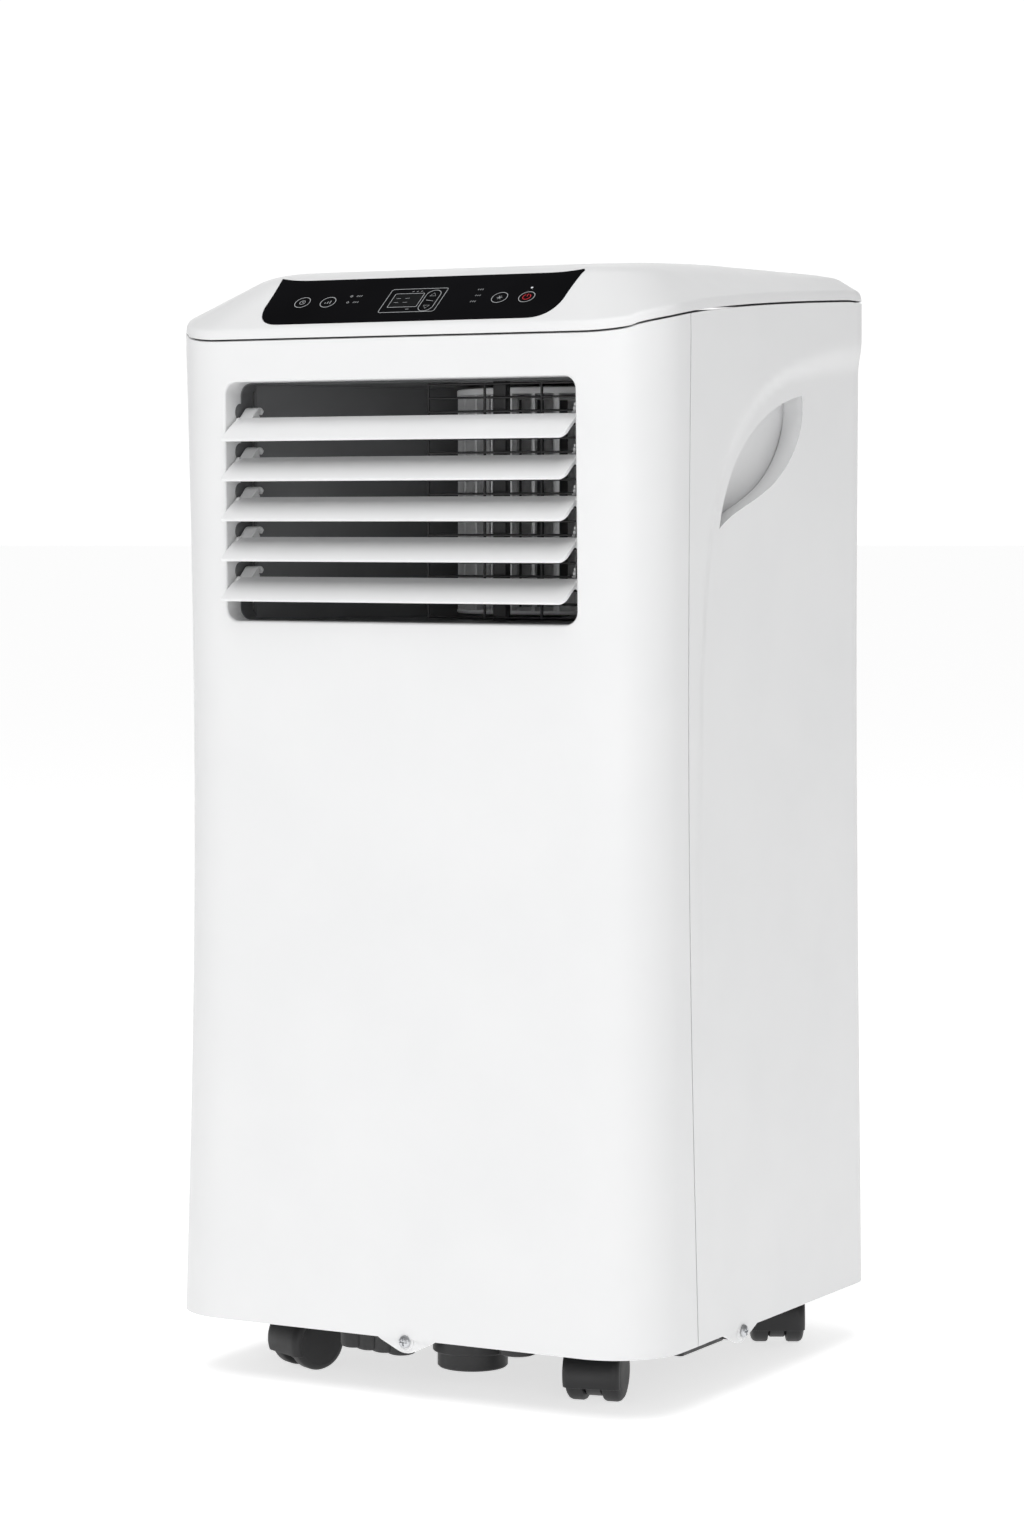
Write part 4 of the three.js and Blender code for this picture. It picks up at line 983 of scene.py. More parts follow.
def overlay_loop(grow):
    """The glossy strip's outline: pointed upper ears and round lower corners, anticlockwise."""
    top, bottom, low, high, tip = 108.5, 88, 5, 51.5, 54.6
    right = [(bottom, low)]
    right += quadratic((bottom, low), (top - 4, low), (top - 2, 24), 12)[1:]
    right += quadratic((top - 2, 24), (top - 2, 36), (top, tip), 8)[1:]
    right += quadratic((top, tip), (top - 10, high), (top - 24, high), 8)[1:]
    loop = right + [(-x, y) for x, y in reversed(right)]
    return offset_loop(loop, -grow) if grow else loop


def make_overlay():
    shape = Shape()
    holes = [clockwise(circle_loop(x, y, r + 0.15, 40)) for x, y, r in KEYS.values()]
    x0, x1, y0, y1 = WINDOW
    holes.append(clockwise(rounded_loop(x0 - 0.15, x1 + 0.15, y0 - 0.15, y1 + 0.15, 0.5, 3)))
    plate(shape, [overlay_loop(0), *holes], on_panel, OVERLAY_TOP, OVERLAY_TOP - OVERLAY_THICKNESS, 0.12, 2)
    make_piece("control_strip", shape, "cabinet", "gloss_black", ["control_overlay"])
    pane = Shape()
    plate(pane, [rounded_loop(x0, x1, y0, y1, 0.4, 3)], on_panel, OVERLAY_TOP, -3.5, 0.1, 2)
    make_piece("display_pane", pane, "cabinet", "smoked_window", ["display_window"])
    for name, (x, y, radius) in KEYS.items():
        cap = Shape()
        plate(cap, [circle_loop(x, y, radius, 40)], on_panel, OVERLAY_TOP, OVERLAY_TOP - 1.8, 0.1, 2)
        make_piece(f"{name}_cap", cap, name, "gloss_black", [name])


PRINT_TOP = OVERLAY_TOP + 0.06


def stroke(shape, route, width, closed=False):
    """A printed line of the given width along a route on the panel."""
    route = [Vector(p) for p in route]
    count = len(route)
    left, right = [], []
    for i, here in enumerate(route):
        before = route[i - 1] if closed or i > 0 else here
        after = route[(i + 1) % count] if closed or i < count - 1 else here
        along = (after - before).normalized()
        across = Vector((-along.y, along.x)) * width / 2
        left.append(here + across)
        right.append(here - across)
    rings = []
    sunk = OVERLAY_TOP - 0.05
    for side, level in ((left, sunk), (left, PRINT_TOP), (right, PRINT_TOP), (right, sunk)):
        rings.append(shape.ring(on_panel(p.x, p.y, level) for p in side))
    shape.bridge_all(rings, closed=closed, around=True)
    if not closed:
        shape.faces.append(tuple(ring[0] for ring in rings))
        shape.faces.append(tuple(ring[-1] for ring in rings))


def make_print(name, shape, body, slot, finish):
    """A printed mark: a piece of the given slot that shows another finish."""
    make_piece(name, shape, body, slot).data.materials[0] = MATERIALS[finish]


def ring_mark(shape, x, y, radius, width):
    stroke(shape, circle_loop(x, y, radius, 48), width, closed=True)


def dot_mark(shape, x, y, radius):
    lathe(shape, [(0, OVERLAY_TOP - 0.05), (radius, OVERLAY_TOP - 0.05), (radius, PRINT_TOP), (0, PRINT_TOP)],
          lambda u, v, w: on_panel(x + u, y + v, w), 16)


def make_key_marks():
    line = 0.42
    for name in ("key_timer", "key_speed", "key_mode"):
        x, y, radius = KEYS[name]
        mark = Shape()
        ring_mark(mark, x, y, radius - 0.35, line)
        if name == "key_timer":
            ring_mark(mark, x, y, 1.9, 0.34)
            stroke(mark, [(x, y + 1.2), (x, y), (x + 0.9, y - 0.4)], 0.34)
        if name == "key_speed":
            for i in range(3):
                stroke(mark, [(x - 1.8 + 1.8 * i, y - 1.5), (x - 1.8 + 1.8 * i, y - 0.3 + 0.9 * i)], 0.5)
        if name == "key_mode":
            for turn in (0, 60, 120):
                s, c = sin_cos(turn)
                stroke(mark, [(x - 1.9 * c, y - 1.9 * s), (x + 1.9 * c, y + 1.9 * s)], 0.34)
        make_print(f"{name}_mark", mark, name, "gloss_black", "print_grey")
    x, y, radius = KEYS["key_power"]
    power = Shape()
    ring_mark(power, x, y, radius - 0.35, line)
    make_print("key_power_ring", power, "key_power", "gloss_black", "print_grey")
    icon = Shape()
    stroke(icon, arc(x, y, 2.6, 120, 420, 30), 0.55)
    stroke(icon, [(x, y + 0.4), (x, y + 3.1)], 0.55)
    make_print("key_power_icon", icon, "key_power", "gloss_black", "print_red")
    for name, sign in (("key_up", 1), ("key_down", -1)):
        x, y, radius = KEYS[name]
        arrow = Shape()
        points = [(x - 2.1, y - sign * 1.1), (x + 2.1, y - sign * 1.1), (x, y + sign * 2.1)]
        stroke(arrow, points, 0.36, closed=True)
        make_print(f"{name}_mark", arrow, name, "gloss_black", "print_grey")


def make_panel_marks():
    marks = Shape()
    stroke(marks, rounded_loop(-19.5, 20.5, 14, 38.5, 1.6, 4), 0.4, closed=True)
    x0, x1, y0, y1 = WINDOW
    stroke(marks, rounded_loop(x0 - 0.6, x1 + 0.6, y0 - 0.6, y1 + 0.6, 0.6, 3), 0.36, closed=True)
    ux, uy, radius = KEYS["key_up"]
    dx, dy, _ = KEYS["key_down"]
    half = radius + 0.7
    pill = arc(ux, uy, half, 0, 180, 16) + arc(dx, dy, half, 180, 360, 16)
    stroke(marks, pill, 0.4, closed=True)
    stroke(marks, [(ux - 2.6, (uy + dy) / 2 + 0.5), (ux + 2.6, (uy + dy) / 2 - 0.5)], 0.34)
    for x, y in ((-46.8, 32.6), (-46.7, 26.1)):
        ring_mark(marks, x, y, 0.75, 0.34)
        for i in range(3):
            stroke(marks, [(x + 4 + i * 1.5, y - 0.8), (x + 4.5 + i * 1.5, y + 0.8)], 0.36)
    for x, y in ((44.3, 35.7), (45, 29.4), (44.2, 23.1)):
        for i in range(3):
            stroke(marks, [(x - 1.6 + i * 1.5, y - 0.7), (x - 1.2 + i * 1.5, y + 0.7)], 0.36)
    for x in (-3.5, -0.5, 2.5):
        stroke(marks, [(x - 0.5, 35.2), (x + 0.5, 36.2)], 0.34)
    for x in (-11, -4.6):
        for y in (24.4, 28.6):
            stroke(marks, [(x - 1.6, y), (x + 1.6, y)], 0.24)
    stroke(marks, [(-1, 17), (1.4, 17)], 0.34)
    make_print("panel_print", marks, "cabinet", "gloss_black", "print_grey")
    lamp = Shape()
    dot_mark(lamp, 80.1, 35.9, 0.8)
    make_print("power_lamp", lamp, "cabinet", "smoked_window", "lamp_white")


# ------------------------------------------------------------------ louvres
def louvre_pivot(index):
    low, _ = box_mm(f"louvre_{index + 1}")
    tilt = LOUVRE_TILT
    y = low.y + LOUVRE_REACH * math.cos(tilt) + LOUVRE_RISE * math.sin(tilt)
    bottom = LOUVRE_BOTTOM + LOUVRE_PITCH * index
    z = bottom + LOUVRE_REACH * math.sin(tilt) - LOUVRE_RISE * math.cos(tilt)
    return Vector((0, y, z))


def blade_point(d, off):
    tilt = LOUVRE_TILT
    return Vector((-d * math.cos(tilt) - off * math.sin(tilt), -d * math.sin(tilt) + off * math.cos(tilt)))


def blade_section(reach):
    """A slat's closed section from its tail to its nose: thin, slightly arched, with a round nose."""
    half, nose = 1.05, 1.05
    upper = []
    for share in spread(0, 1, 10):
        d = lerp(-LOUVRE_TAIL, reach - nose, share)
        arch = 0.7 * math.sin(math.pi * clamp((d + LOUVRE_TAIL) / (LOUVRE_REACH + LOUVRE_TAIL)))
        thick = half * lerp(0.62, 1, smooth(share * 3))
        upper.append((d, arch, thick))
    points = [(d, arch + thick) for d, arch, thick in upper]
    d, arch, thick = upper[-1]
    points += [(d + nose * math.cos(a), arch + thick * math.sin(a)) for a in
               [math.radians(x) for x in (60, 30, 0, -30, -60)]]
    points += [(d, arch - thick) for d, arch, thick in reversed(upper)]
    return [blade_point(d, off + LOUVRE_RISE) for d, off in points]


SLAT_RIGHT = 120.6           # where the blade ends at the right
SLAT_CORNER = (4, 5.5)       # the width and depth of its rounded front corner there
NOSE_BACK = 0.3              # how far the nose stays behind the CAD's
LEFT_CLIP = (-122.6, -113)   # from where to where the clips reach in X
RIGHT_CLIP = (111.2, 113.6)
PIN_END = 117.8


def right_reach(x):
    """How far the slat reaches forward: its nose is rounded off at the right-hand end."""
    width, depth = SLAT_CORNER
    share = clamp((x - SLAT_RIGHT + width) / width)
    return LOUVRE_REACH - NOSE_BACK - depth * (1 - math.sqrt(1 - share ** 2))


def left_clip_loop():
    """The broad clip at the slat's left end, open to the rear, drawn in Y and Z about the slat's pivot."""
    cy, cz = LINK_PIN
    upper = [(-1, -0.6), (-1.5, 1.2), (4.5, 6.5), (8, 9.9), (12.5, 10), (15, 7.6), (12.9, 5.4)]
    eased = [tuple(p) for p in round_corners(upper, [0, 0.6, 2, 2.5, 2, 0.8, 0], 4)]
    notch = arc(cy - 0.4, cz + 0.1, 1.9, -35, 235, 14)
    lower = [(10.4, 3.8), (6.5, 0.6), (3, -1.6)]
    return list(reversed(eased + notch + lower))


def clip_loop():
    """A C-shaped snap clip with its arm, drawn in Y and Z about the slat's pivot."""
    cy, cz = LINK_PIN
    outer = arc(cy, cz, 3.4, -150, 100, 18)
    inner = arc(cy, cz, 1.75, 100, -130, 14)
    hook = outer + inner
    arm = [(cy - 3.6, cz - 3.4), (1.5, 2.4), (-1.5, 1.2), (-0.5, -0.6), (4.5, -1.4), (cy - 1.8, cz - 4.2)]
    return [tuple(p) for p in hook], arm


def make_louvre(index):
    pivot = louvre_pivot(index)
    half = OUTLET["half"] - 1.4
    shape = Shape()
    corner = SLAT_CORNER[0]
    stations = [-half, -half + 0.35, -half + 1] + spread(-half + 6, SLAT_RIGHT - 8, 18)
    stations += [SLAT_RIGHT - corner + corner * math.sin(math.radians(a)) for a in spread(0, 90, 10)]
    rings = []
    for x in stations:
        section = blade_section(right_reach(x))
        rings.append(shape.ring((x, p.x + pivot.y, p.y + pivot.z) for p in section))
    shape.bridge_all(rings)
    shape.cap_ends(rings)
    for side in (-1, 1):
        place = lambda u, v, w: Vector((side * w, u + pivot.y, v + pivot.z))
        start = half - 2.2 if side < 0 else SLAT_RIGHT - 1.5
        boss = [(0, start), (3.2, start), (3.6, start + 0.4), (3.6, half - 0.4), (3.2, half), (2, half),
                (2, half + 2.8), (1.6, half + 3.2), (0, half + 3.2)]
        lathe(shape, boss, place, 20)
    hook, arm = clip_loop()
    place = shifted(along_x, 0, pivot.y, pivot.z)
    plate(shape, [left_clip_loop()], place, *LEFT_CLIP, 0.5, 2)
    plate(shape, [hook], place, *RIGHT_CLIP, 0.35, 2)
    arm_start = RIGHT_CLIP[0] + 0.2
    plate(shape, [clockwise(arm)], place, arm_start, RIGHT_CLIP[1], 0.35, 2)
    pin = [(0, arm_start), (1.5, arm_start), (1.5, PIN_END - 0.4), (1.2, PIN_END), (0, PIN_END)]
    lathe(shape, pin, lambda u, v, w: Vector((w, u + pivot.y + LINK_PIN.x, v + pivot.z + LINK_PIN.y)), 14)
    name = f"louvre_{index + 1}"
    make_piece(f"{name}_slat", shape, name, "white_abs", [name], crease=42)


def make_louvre_link():
    low, high = box_mm("louvre_link")
    middle = (low.y + high.y) / 2
    loop = rounded_loop(low.y, high.y, low.z, high.z, 3, 5)
    holes = []
    for i in range(LOUVRES):
        z = louvre_pivot(i).z + LINK_PIN.y
        holes.append(clockwise(circle_loop(middle, z, 1.9, 20)))
    shape = Shape()
    plate(shape, [loop, *holes], along_x, low.x, high.x, 0.4, 2)
    make_piece("louvre_tie_bar", shape, "louvre_link", "black_plastic", ["louvre_link"])


# ------------------------------------------------------------------ air outlet
def make_outlet_duct():
    """The dark throat behind the white frame, with a thin round disc beside each end of a slat."""
    shape = Shape()
    front = BODY_FRONT + OUTLET["wall_depth"] + 0.3
    back = BODY_FRONT + OUTLET["depth"]
    loop = outlet_loop(-0.4)
    plate(shape, [outlet_loop(WALL), clockwise(loop)], along_y, front, back, 0.4, 2)
    for i in range(LOUVRES):
        pivot = louvre_pivot(i)
        for side in (-1, 1):
            disc = [(0, 0), (5.2, 0), (5.4, 0.15), (5.4, 0.35), (5.2, 0.5), (0, 0.5)]
            x = side * (OUTLET["half"] - 0.45)
            lathe(shape, disc, lambda u, v, w: Vector((x + side * w, pivot.y + 4.2 + u, pivot.z + 7 + v)), 28)
    make_piece("outlet_throat", shape, "cabinet", "dark_plastic")


def make_guard():
    low, high = box_mm("outlet_guard")
    y = (low.y + high.y) / 2
    wire = 0.9
    post_loop = rounded_loop(44, 53.5, -128, -121, 1.5, 4)
    shape = Shape()
    for x in spread(low.x + wire, high.x - wire, 3):
        tube(shape, [(x, y, low.z + 0.2), (x, y, high.z - 0.2)], wire, 10)
    for z in spread(low.z + wire, high.z - wire, 17):
        tube(shape, [(low.x + 0.2, y, z), (high.x - 0.2, y, z)], wire * 0.8, 8)
    make_piece("guard_wires", shape, "cabinet", "black_plastic", ["outlet_guard"])
    post = Shape()
    plate(post, [post_loop], along_z, low.z - 1, high.z + 1, 0.5, 2)
    make_piece("guard_post", post, "cabinet", "black_plastic")


def scroll_line(radius, front, cx, cy):
    """The scroll's wall in plan, from the left of the mouth round the wheel to the right of the mouth."""
    start = math.radians(150)
    x0, y0 = cx + radius * math.cos(start), cy + radius * math.sin(start)
    reach = (y0 - front) / math.cos(math.radians(30))
    line = [(x0 - 0.5 * reach, front)]
    line += [(lerp(x0 - 0.5 * reach, x0, t), lerp(front, y0, t)) for t in spread(0, 1, 8)[1:-1]]
    line += arc(cx, cy, radius, 150, 0, 48)
    line.append((cx + radius, front))
    return line


def make_scroll():
    wheel_low, wheel_high = box_mm("blower_wheel")
    cx, cy = (wheel_low.x + wheel_high.x) / 2, (wheel_low.y + wheel_high.y) / 2
    low, high = box_mm("blower_scroll")
    outer = scroll_line(90, low.y, cx, cy)
    inner = scroll_line(87.6, low.y, cx, cy)
    shape = Shape()
    wall = list(reversed(outer)) + inner
    plate(shape, [wall], along_z, low.z, high.z, 0.3, 1)
    sheet_loop = list(reversed(outer))
    inlet = clockwise(circle_loop(cx, cy, 60, 48))
    hub = clockwise(circle_loop(cx, cy, 12, 24))
    plate(shape, [sheet_loop, inlet], along_z, high.z - 2.4, high.z, 0.3, 1)
    plate(shape, [sheet_loop, hub], along_z, low.z, low.z + 2.4, 0.3, 1)
    make_piece("scroll_case", shape, "cabinet", "dark_plastic", ["blower_scroll"])


def make_blower_wheel():
    low, high = box_mm("blower_wheel")
    cx, cy = (low.x + high.x) / 2, (low.y + high.y) / 2
    radius, count = 76, 30
    shape = Shape()
    place = shifted(along_z, cx, cy, 0)
    hub_disc = [
        (4.3, low.z), (radius - 0.6, low.z), (radius, low.z + 0.6), (radius, low.z + 1.8),
        (radius - 0.6, low.z + 2.4), (10, low.z + 2.4), (10, low.z + 15.4), (9.4, low.z + 16),
        (4.3, low.z + 16),
    ]
    top_ring = [
        (radius - 13, high.z - 4), (radius, high.z - 4), (radius, high.z - 0.6), (radius - 0.6, high.z),
        (radius - 12.4, high.z), (radius - 13, high.z - 0.6),
    ]
    lathe(shape, hub_disc, place, 72)
    lathe(shape, top_ring, place, 72)
    middle = (low.z + high.z) / 2
    lathe(shape, [(radius - 3, middle - 1), (radius - 0.2, middle - 1), (radius - 0.2, middle + 1),
                  (radius - 3, middle + 1)], place, 72)
    for i in range(count):
        turn = Matrix.Rotation(2 * math.pi * i / count, 2)
        section = []
        for side in (0.6, -0.6):
            arcs = [(radius - 12.2 + 11.8 * t, 4.6 * t * t - 2.2 + side) for t in spread(0, 1, 6)]
            section += arcs if side > 0 else list(reversed(arcs))
        turned = [tuple(turn @ Vector(p)) for p in clockwise(section)]
        plate(shape, [turned], place, low.z + 2, high.z - 3.5, 0.1, 1)
    make_piece("blower_rotor", shape, "blower_wheel", "grey_plastic", ["blower_wheel"])


# ------------------------------------------------------------------ rear
def make_grille(name, node, body, opening, bars):
    """A slotted panel with a middle rib and rounded bars."""
    margin, slot, rib = 9, 7, 3
    half = opening["half"] - margin
    pitch = (opening["high"] - opening["low"] - 2 * margin) / bars
    edge = opening["half"] - CAD_GAP
    loops = [rounded_loop(-edge, edge, opening["low"] + CAD_GAP, opening["high"] - CAD_GAP, 10 - CAD_GAP, 8)]
    for i in range(bars):
        z = opening["low"] + margin + i * pitch + (pitch - slot) / 2
        for a, b in ((-half, -rib), (rib, half)):
            loops.append(clockwise(rounded_loop(a, b, z, z + slot, 3.2, 5)))
    low, high = box_mm(node)
    shape = Shape()
    plate(shape, loops, along_y, high.y, low.y, 1.3, 4)
    make_piece(name, shape, body, "white_abs", [node])


def make_filter():
    low, high = box_mm("filter_net")
    shape = Shape()
    border = 5
    outline = rounded_loop(low.x, high.x, low.z, high.z, 6, 5)
    hole = rounded_loop(low.x + border, high.x - border, low.z + border, high.z - border, 4, 5)
    plate(shape, [outline, clockwise(hole)], along_y, high.y, low.y, 0.5, 2)
    y = (low.y + high.y) / 2
    thread = 0.35
    across = int((high.x - low.x - 2 * border) / 3)
    for x in spread(low.x + border, high.x - border, across)[1:-1]:
        tube(shape, [(x, y - thread, low.z + border - 1), (x, y - thread, high.z - border + 1)], thread, 4)
    up = int((high.z - low.z - 2 * border) / 3)
    for z in spread(low.z + border, high.z - border, up)[1:-1]:
        tube(shape, [(low.x + border - 1, y, z), (high.x - border + 1, y, z)], thread, 4)
    for share in (1 / 3, 2 / 3):
        x = lerp(low.x, high.x, share)
        bar = rounded_loop(x - 1.5, x + 1.5, low.z + border - 1, high.z - border + 1, 0.6, 2)
        plate(shape, [bar], along_y, high.y - 0.4, low.y + 0.4, 0.4, 2)
    make_piece("filter_screen", shape, "filter_panel", "filter_mesh", ["filter_net"])


def make_coil(name, node):
    """A fin-and-tube coil: many thin upright fins between end plates, and straight tubes running through them."""
    low, high = box_mm(node)
    shape = Shape()
    plate(shape, [rounded_loop(low.x, low.x + 2, low.y, high.y, 0.4, 2)], along_z, low.z, high.z, 0.3, 1)
    plate(shape, [rounded_loop(high.x - 2, high.x, low.y, high.y, 0.4, 2)], along_z, low.z, high.z, 0.3, 1)
    fins = int((high.x - low.x - 6) / 2.2)
    for x in spread(low.x + 3, high.x - 3, fins):
        fin = [shape.add((x + dx, y, z)) for dx, y, z in (
            (-0.12, low.y + 1, low.z + 1), (0.12, low.y + 1, low.z + 1), (0.12, high.y - 1, low.z + 1),
            (-0.12, high.y - 1, low.z + 1), (-0.12, low.y + 1, high.z - 1), (0.12, low.y + 1, high.z - 1),
            (0.12, high.y - 1, high.z - 1), (-0.12, high.y - 1, high.z - 1))]
        for corners in ((0, 3, 2, 1), (4, 5, 6, 7), (0, 1, 5, 4), (1, 2, 6, 5), (2, 3, 7, 6), (3, 0, 4, 7)):
            shape.faces.append(tuple(fin[i] for i in corners))
    rows = int((high.z - low.z) / 24)
    for z in spread(low.z + 12, high.z - 12, rows):
        tube(shape, [(low.x + 0.5, high.y - 6, z), (high.x - 0.5, high.y - 6, z)], 3.2, 12)
    make_piece(name, shape, "cabinet", "coil_aluminium", [node])


def make_exhaust():
    low, high = box_mm("exhaust_collar")
    radius, wall = EXHAUST_RADIUS, EXHAUST_WALL
    shape = Shape()
    place = lambda u, v, w: Vector((u, w, v + EXHAUST_Z))
    rear, flange, outer = BODY_REAR, radius + 9, radius + wall
    profile = [
        (radius, low.y), (outer, low.y), (outer, rear + 0.3), (radius + 8.4, rear + 0.3),
        (flange, rear + 0.9), (flange, rear + 2), (radius + 8, rear + 3), (outer + 1, rear + 3),
        (outer, rear + 4), (outer, high.y - 1), (outer - 1, high.y), (radius + 0.8, high.y),
        (radius, high.y - 0.8),
    ]
    lathe(shape, profile, place, 96)
    for i in range(4):
        turn = Matrix.Rotation(math.radians(45 + 90 * i), 2)
        r = radius + wall - 0.4
        loop = [turn @ Vector(p) for p in ((r, -6), (r + 3.8, -5), (r + 3.8, 5), (r, 6))]
        plate(shape, [[tuple(p) for p in loop]], place, high.y - 6, high.y - 2, 0.5, 2)
    make_piece("exhaust_ring", shape, "cabinet", "white_abs", ["exhaust_collar"])
    drum = Shape()
    front, back = (p.y for p in box_mm("exhaust_fan_housing"))
    lathe(drum, [(56, front), (79.4, front), (80, front + 0.6), (80, back), (77.4, back), (77.4, front + 2.6),
                 (56, front + 2.6)], place, 72)
    make_piece("exhaust_drum", drum, "cabinet", "dark_plastic", ["exhaust_fan_housing"])
    make_exhaust_fan(place)


def make_exhaust_fan(place):
    low, high = box_mm("exhaust_fan_wheel")
    centre = (low.y + high.y) / 2
    shape = Shape()
    hub = [(0, 18), (15, 18), (18.5, 17), (20, 14), (20, -18), (18, -18), (18, 10), (0, 10)]
    lathe(shape, [(r, centre + depth) for r, depth in hub], place, 40)
    blades = 7
    for i in range(blades):
        rings = []
        for share in spread(0, 1, 8):
            radius = lerp(18.5, 67, share)
            pitch = math.radians(lerp(50, 30, share))
            sweep = math.radians(360 * i / blades + 16 * share * share)
            chord = lerp(30, 44, share)
            section = []
            for side in (0.9, -0.9):
                steps = spread(-0.5, 0.5, 6)
                for k in (steps if side > 0 else reversed(steps)):
                    camber = 3.5 * (0.25 - k * k)
                    across = k * chord * math.cos(pitch) + camber * math.sin(pitch)
                    depth = k * chord * math.sin(pitch) - camber * math.cos(pitch) + side * (1 - 1.2 * k * k)
                    angle = sweep + across / radius
                    u, v = radius * math.cos(angle), radius * math.sin(angle)
                    section.append(place(u, v, centre + depth * 0.95))
            rings.append(shape.ring(section))
        shape.bridge_all(rings)
        shape.cap_ends(rings)
    make_piece("exhaust_rotor", shape, "exhaust_fan_wheel", "grey_plastic", ["exhaust_fan_wheel"])


def make_caps_and_gland():
    for node, piece in (("upper_drain_cap", "upper_drain_plug"), ("lower_drain_cap", "lower_drain_plug")):
        x, z = centre_xz(node)
        shape = Shape()
        place = lambda u, v, w: Vector((x + u, BODY_REAR + w, z + v))
        plug = [(0, -12), (8.2, -12), (9, -11.2), (9, 0.4), (11.4, 0.4), (12, 1), (12, 4), (11, 5), (0, 5)]
        lathe(shape, plug, place, 48)
        plate(shape, [rounded_loop(-7, 7, -1.5, 1.5, 1.4, 5)], place, 4.6, 11, 0.7, 3)
        make_piece(piece, shape, node, "white_abs", [node])
    x, z = centre_xz("cord_gland")
    gland = Shape()
    bush = [(3.6, -10), (8, -10), (8, 0.3), (10.6, 0.3), (11, 0.7), (11, 3), (9.5, 4), (4.4, 4), (3.6, 3.2)]
    lathe(gland, bush, lambda u, v, w: Vector((x + u, BODY_REAR + w, z + v)), 40)
    make_piece("cord_bush", gland, "cabinet", "black_plastic", ["cord_gland"])


# ------------------------------------------------------------------ underside
def make_lug_screws():
    """Pan-head screws with a cross recess, one in each pointed lug."""
    places = (
        ("lug_screw_front", (FRONT_LUG_X, BODY_FRONT - 0.2), Vector((1, 0)), Vector((0, 1))),
        ("lug_screw_right", (HALF_WIDTH + 0.2, SIDE_LUG_Y), Vector((0, 1)), Vector((-1, 0))),
        ("lug_screw_left", (-HALF_WIDTH - 0.2, SIDE_LUG_Y), Vector((0, -1)), Vector((1, 0))),
    )
    head = [
        (0, -2), (1.6, -2), (2.8, -1.75), (3.6, -1.1), (4, -0.2), (4, 0), (2, 0), (2, 5.6), (1.6, 6), (0, 6),
    ]
    for node, foot, across, inward in places:
        origin = Vector((*foot, LUG_SCREW_Z))
        place = lambda u, v, w: origin + Vector((across.x * u + inward.x * w, across.y * u + inward.y * w, v))
        shape = Shape()
        lathe(shape, head, place, 32)
        piece = make_piece(f"{node}_head", shape, "cabinet", "zinc_steel", [node])
        cross = Shape()
        arm, half = 2.5, 0.55
        loop = [
            (arm, -half), (arm, half), (half, half), (half, arm), (-half, arm), (-half, half), (-arm, half),
            (-arm, -half), (-half, -half), (-half, -arm), (half, -arm), (half, -half),
        ]
        plate(cross, [loop], place, -3, -0.8, 0.05, 1)
        carve(piece, cross)


PAN_UNDERSIDE = 40.2
PAN_EDGE = 1.4               # how far the pan's wall stays inside the shells
SUMP = {"x": 20, "y": -110, "radius": 22}
RIBS = {"x": -44, "y": -146, "step_x": 10, "step_y": 2, "bottom": 26, "count": 4}
FOOT = {"x": 62, "y": -128, "bottom": 28}
SIDE_BLOCK = {"inner": 52, "outer": 150, "front": -78, "back": -18, "bottom": 26}
LUG_BRACKET = {"half": 7, "bottom": 33}


def make_base_pan():
    low, high = box_mm("base_pan")
    underside = PAN_UNDERSIDE
    inset = WALL + PAN_EDGE
    outline = body_outline(inset)
    inner = body_outline(inset + 2.4)
    shape = Shape()
    plate(shape, [outline], along_z, underside, underside + 3, 0.6, 2)
    plate(shape, [outline, clockwise(inner)], along_z, underside + 2, high.z, 0.6, 2)
    root = underside + 1
    radius, bottom = SUMP["radius"], low.z
    profile = [
        (0, bottom + 1.2), (radius - 6, bottom + 1.2), (radius - 5, bottom), (radius - 1, bottom),
        (radius, bottom + 1), (radius, bottom + 9.4), (radius + 0.8, bottom + 10),
        (radius + 2.4, bottom + 10), (radius + 3, bottom + 10.6), (radius + 3, root), (0, root),
    ]
    lathe(shape, profile, shifted(along_z, SUMP["x"], SUMP["y"], 0), 64)
    for i in range(RIBS["count"]):
        foot = RIBS["bottom"] - i
        place = shifted(along_z, RIBS["x"] + i * RIBS["step_x"], RIBS["y"] + i * RIBS["step_y"], 0)
        rib = [(0, foot), (6.5, foot), (8.3, foot + 0.7), (9, foot + 2.5), (9, root), (0, root)]
        lathe(shape, rib, place, 36)
    foot = FOOT["bottom"]
    knob = [(0, foot), (9.5, foot), (11.4, foot + 0.8), (12, foot + 3), (12, root), (0, root)]
    lathe(shape, knob, shifted(along_z, FOOT["x"], FOOT["y"], 0), 40)
    half, bracket = LUG_BRACKET["half"], LUG_BRACKET["bottom"]
    for sign in (1, -1):
        a, b = sorted((sign * SIDE_BLOCK["inner"], sign * SIDE_BLOCK["outer"]))
        block = rounded_loop(a, b, SIDE_BLOCK["front"], SIDE_BLOCK["back"], 3, 5)
        plate(shape, [block], along_z, SIDE_BLOCK["bottom"], root, 1.2, 3)
        a, b = sorted((sign * 140, sign * 169.6))
        loop = rounded_loop(a, b, SIDE_LUG_Y - half, SIDE_LUG_Y + half, 2, 4)
        plate(shape, [loop], along_z, bracket, root, 0.8, 2)
    loop = rounded_loop(FRONT_LUG_X - half, FRONT_LUG_X + half, -167.5, -150, 2, 4)
    plate(shape, [loop], along_z, bracket, root, 0.8, 2)
    make_piece("drip_tray", shape, "cabinet", "black_plastic", ["base_pan"])


WHEEL_RADIUS = 18
WHEEL_WIDTH = 12
WEB = 11                 # the middle wall of the hood, between the two wheels
TRAIL = 13               # from the swivel's axis to the axle
HOOD_EDGE = 10.2         # the height of the hood's lower edge
HOOD_REAR = 8            # how far the hood reaches behind the axle


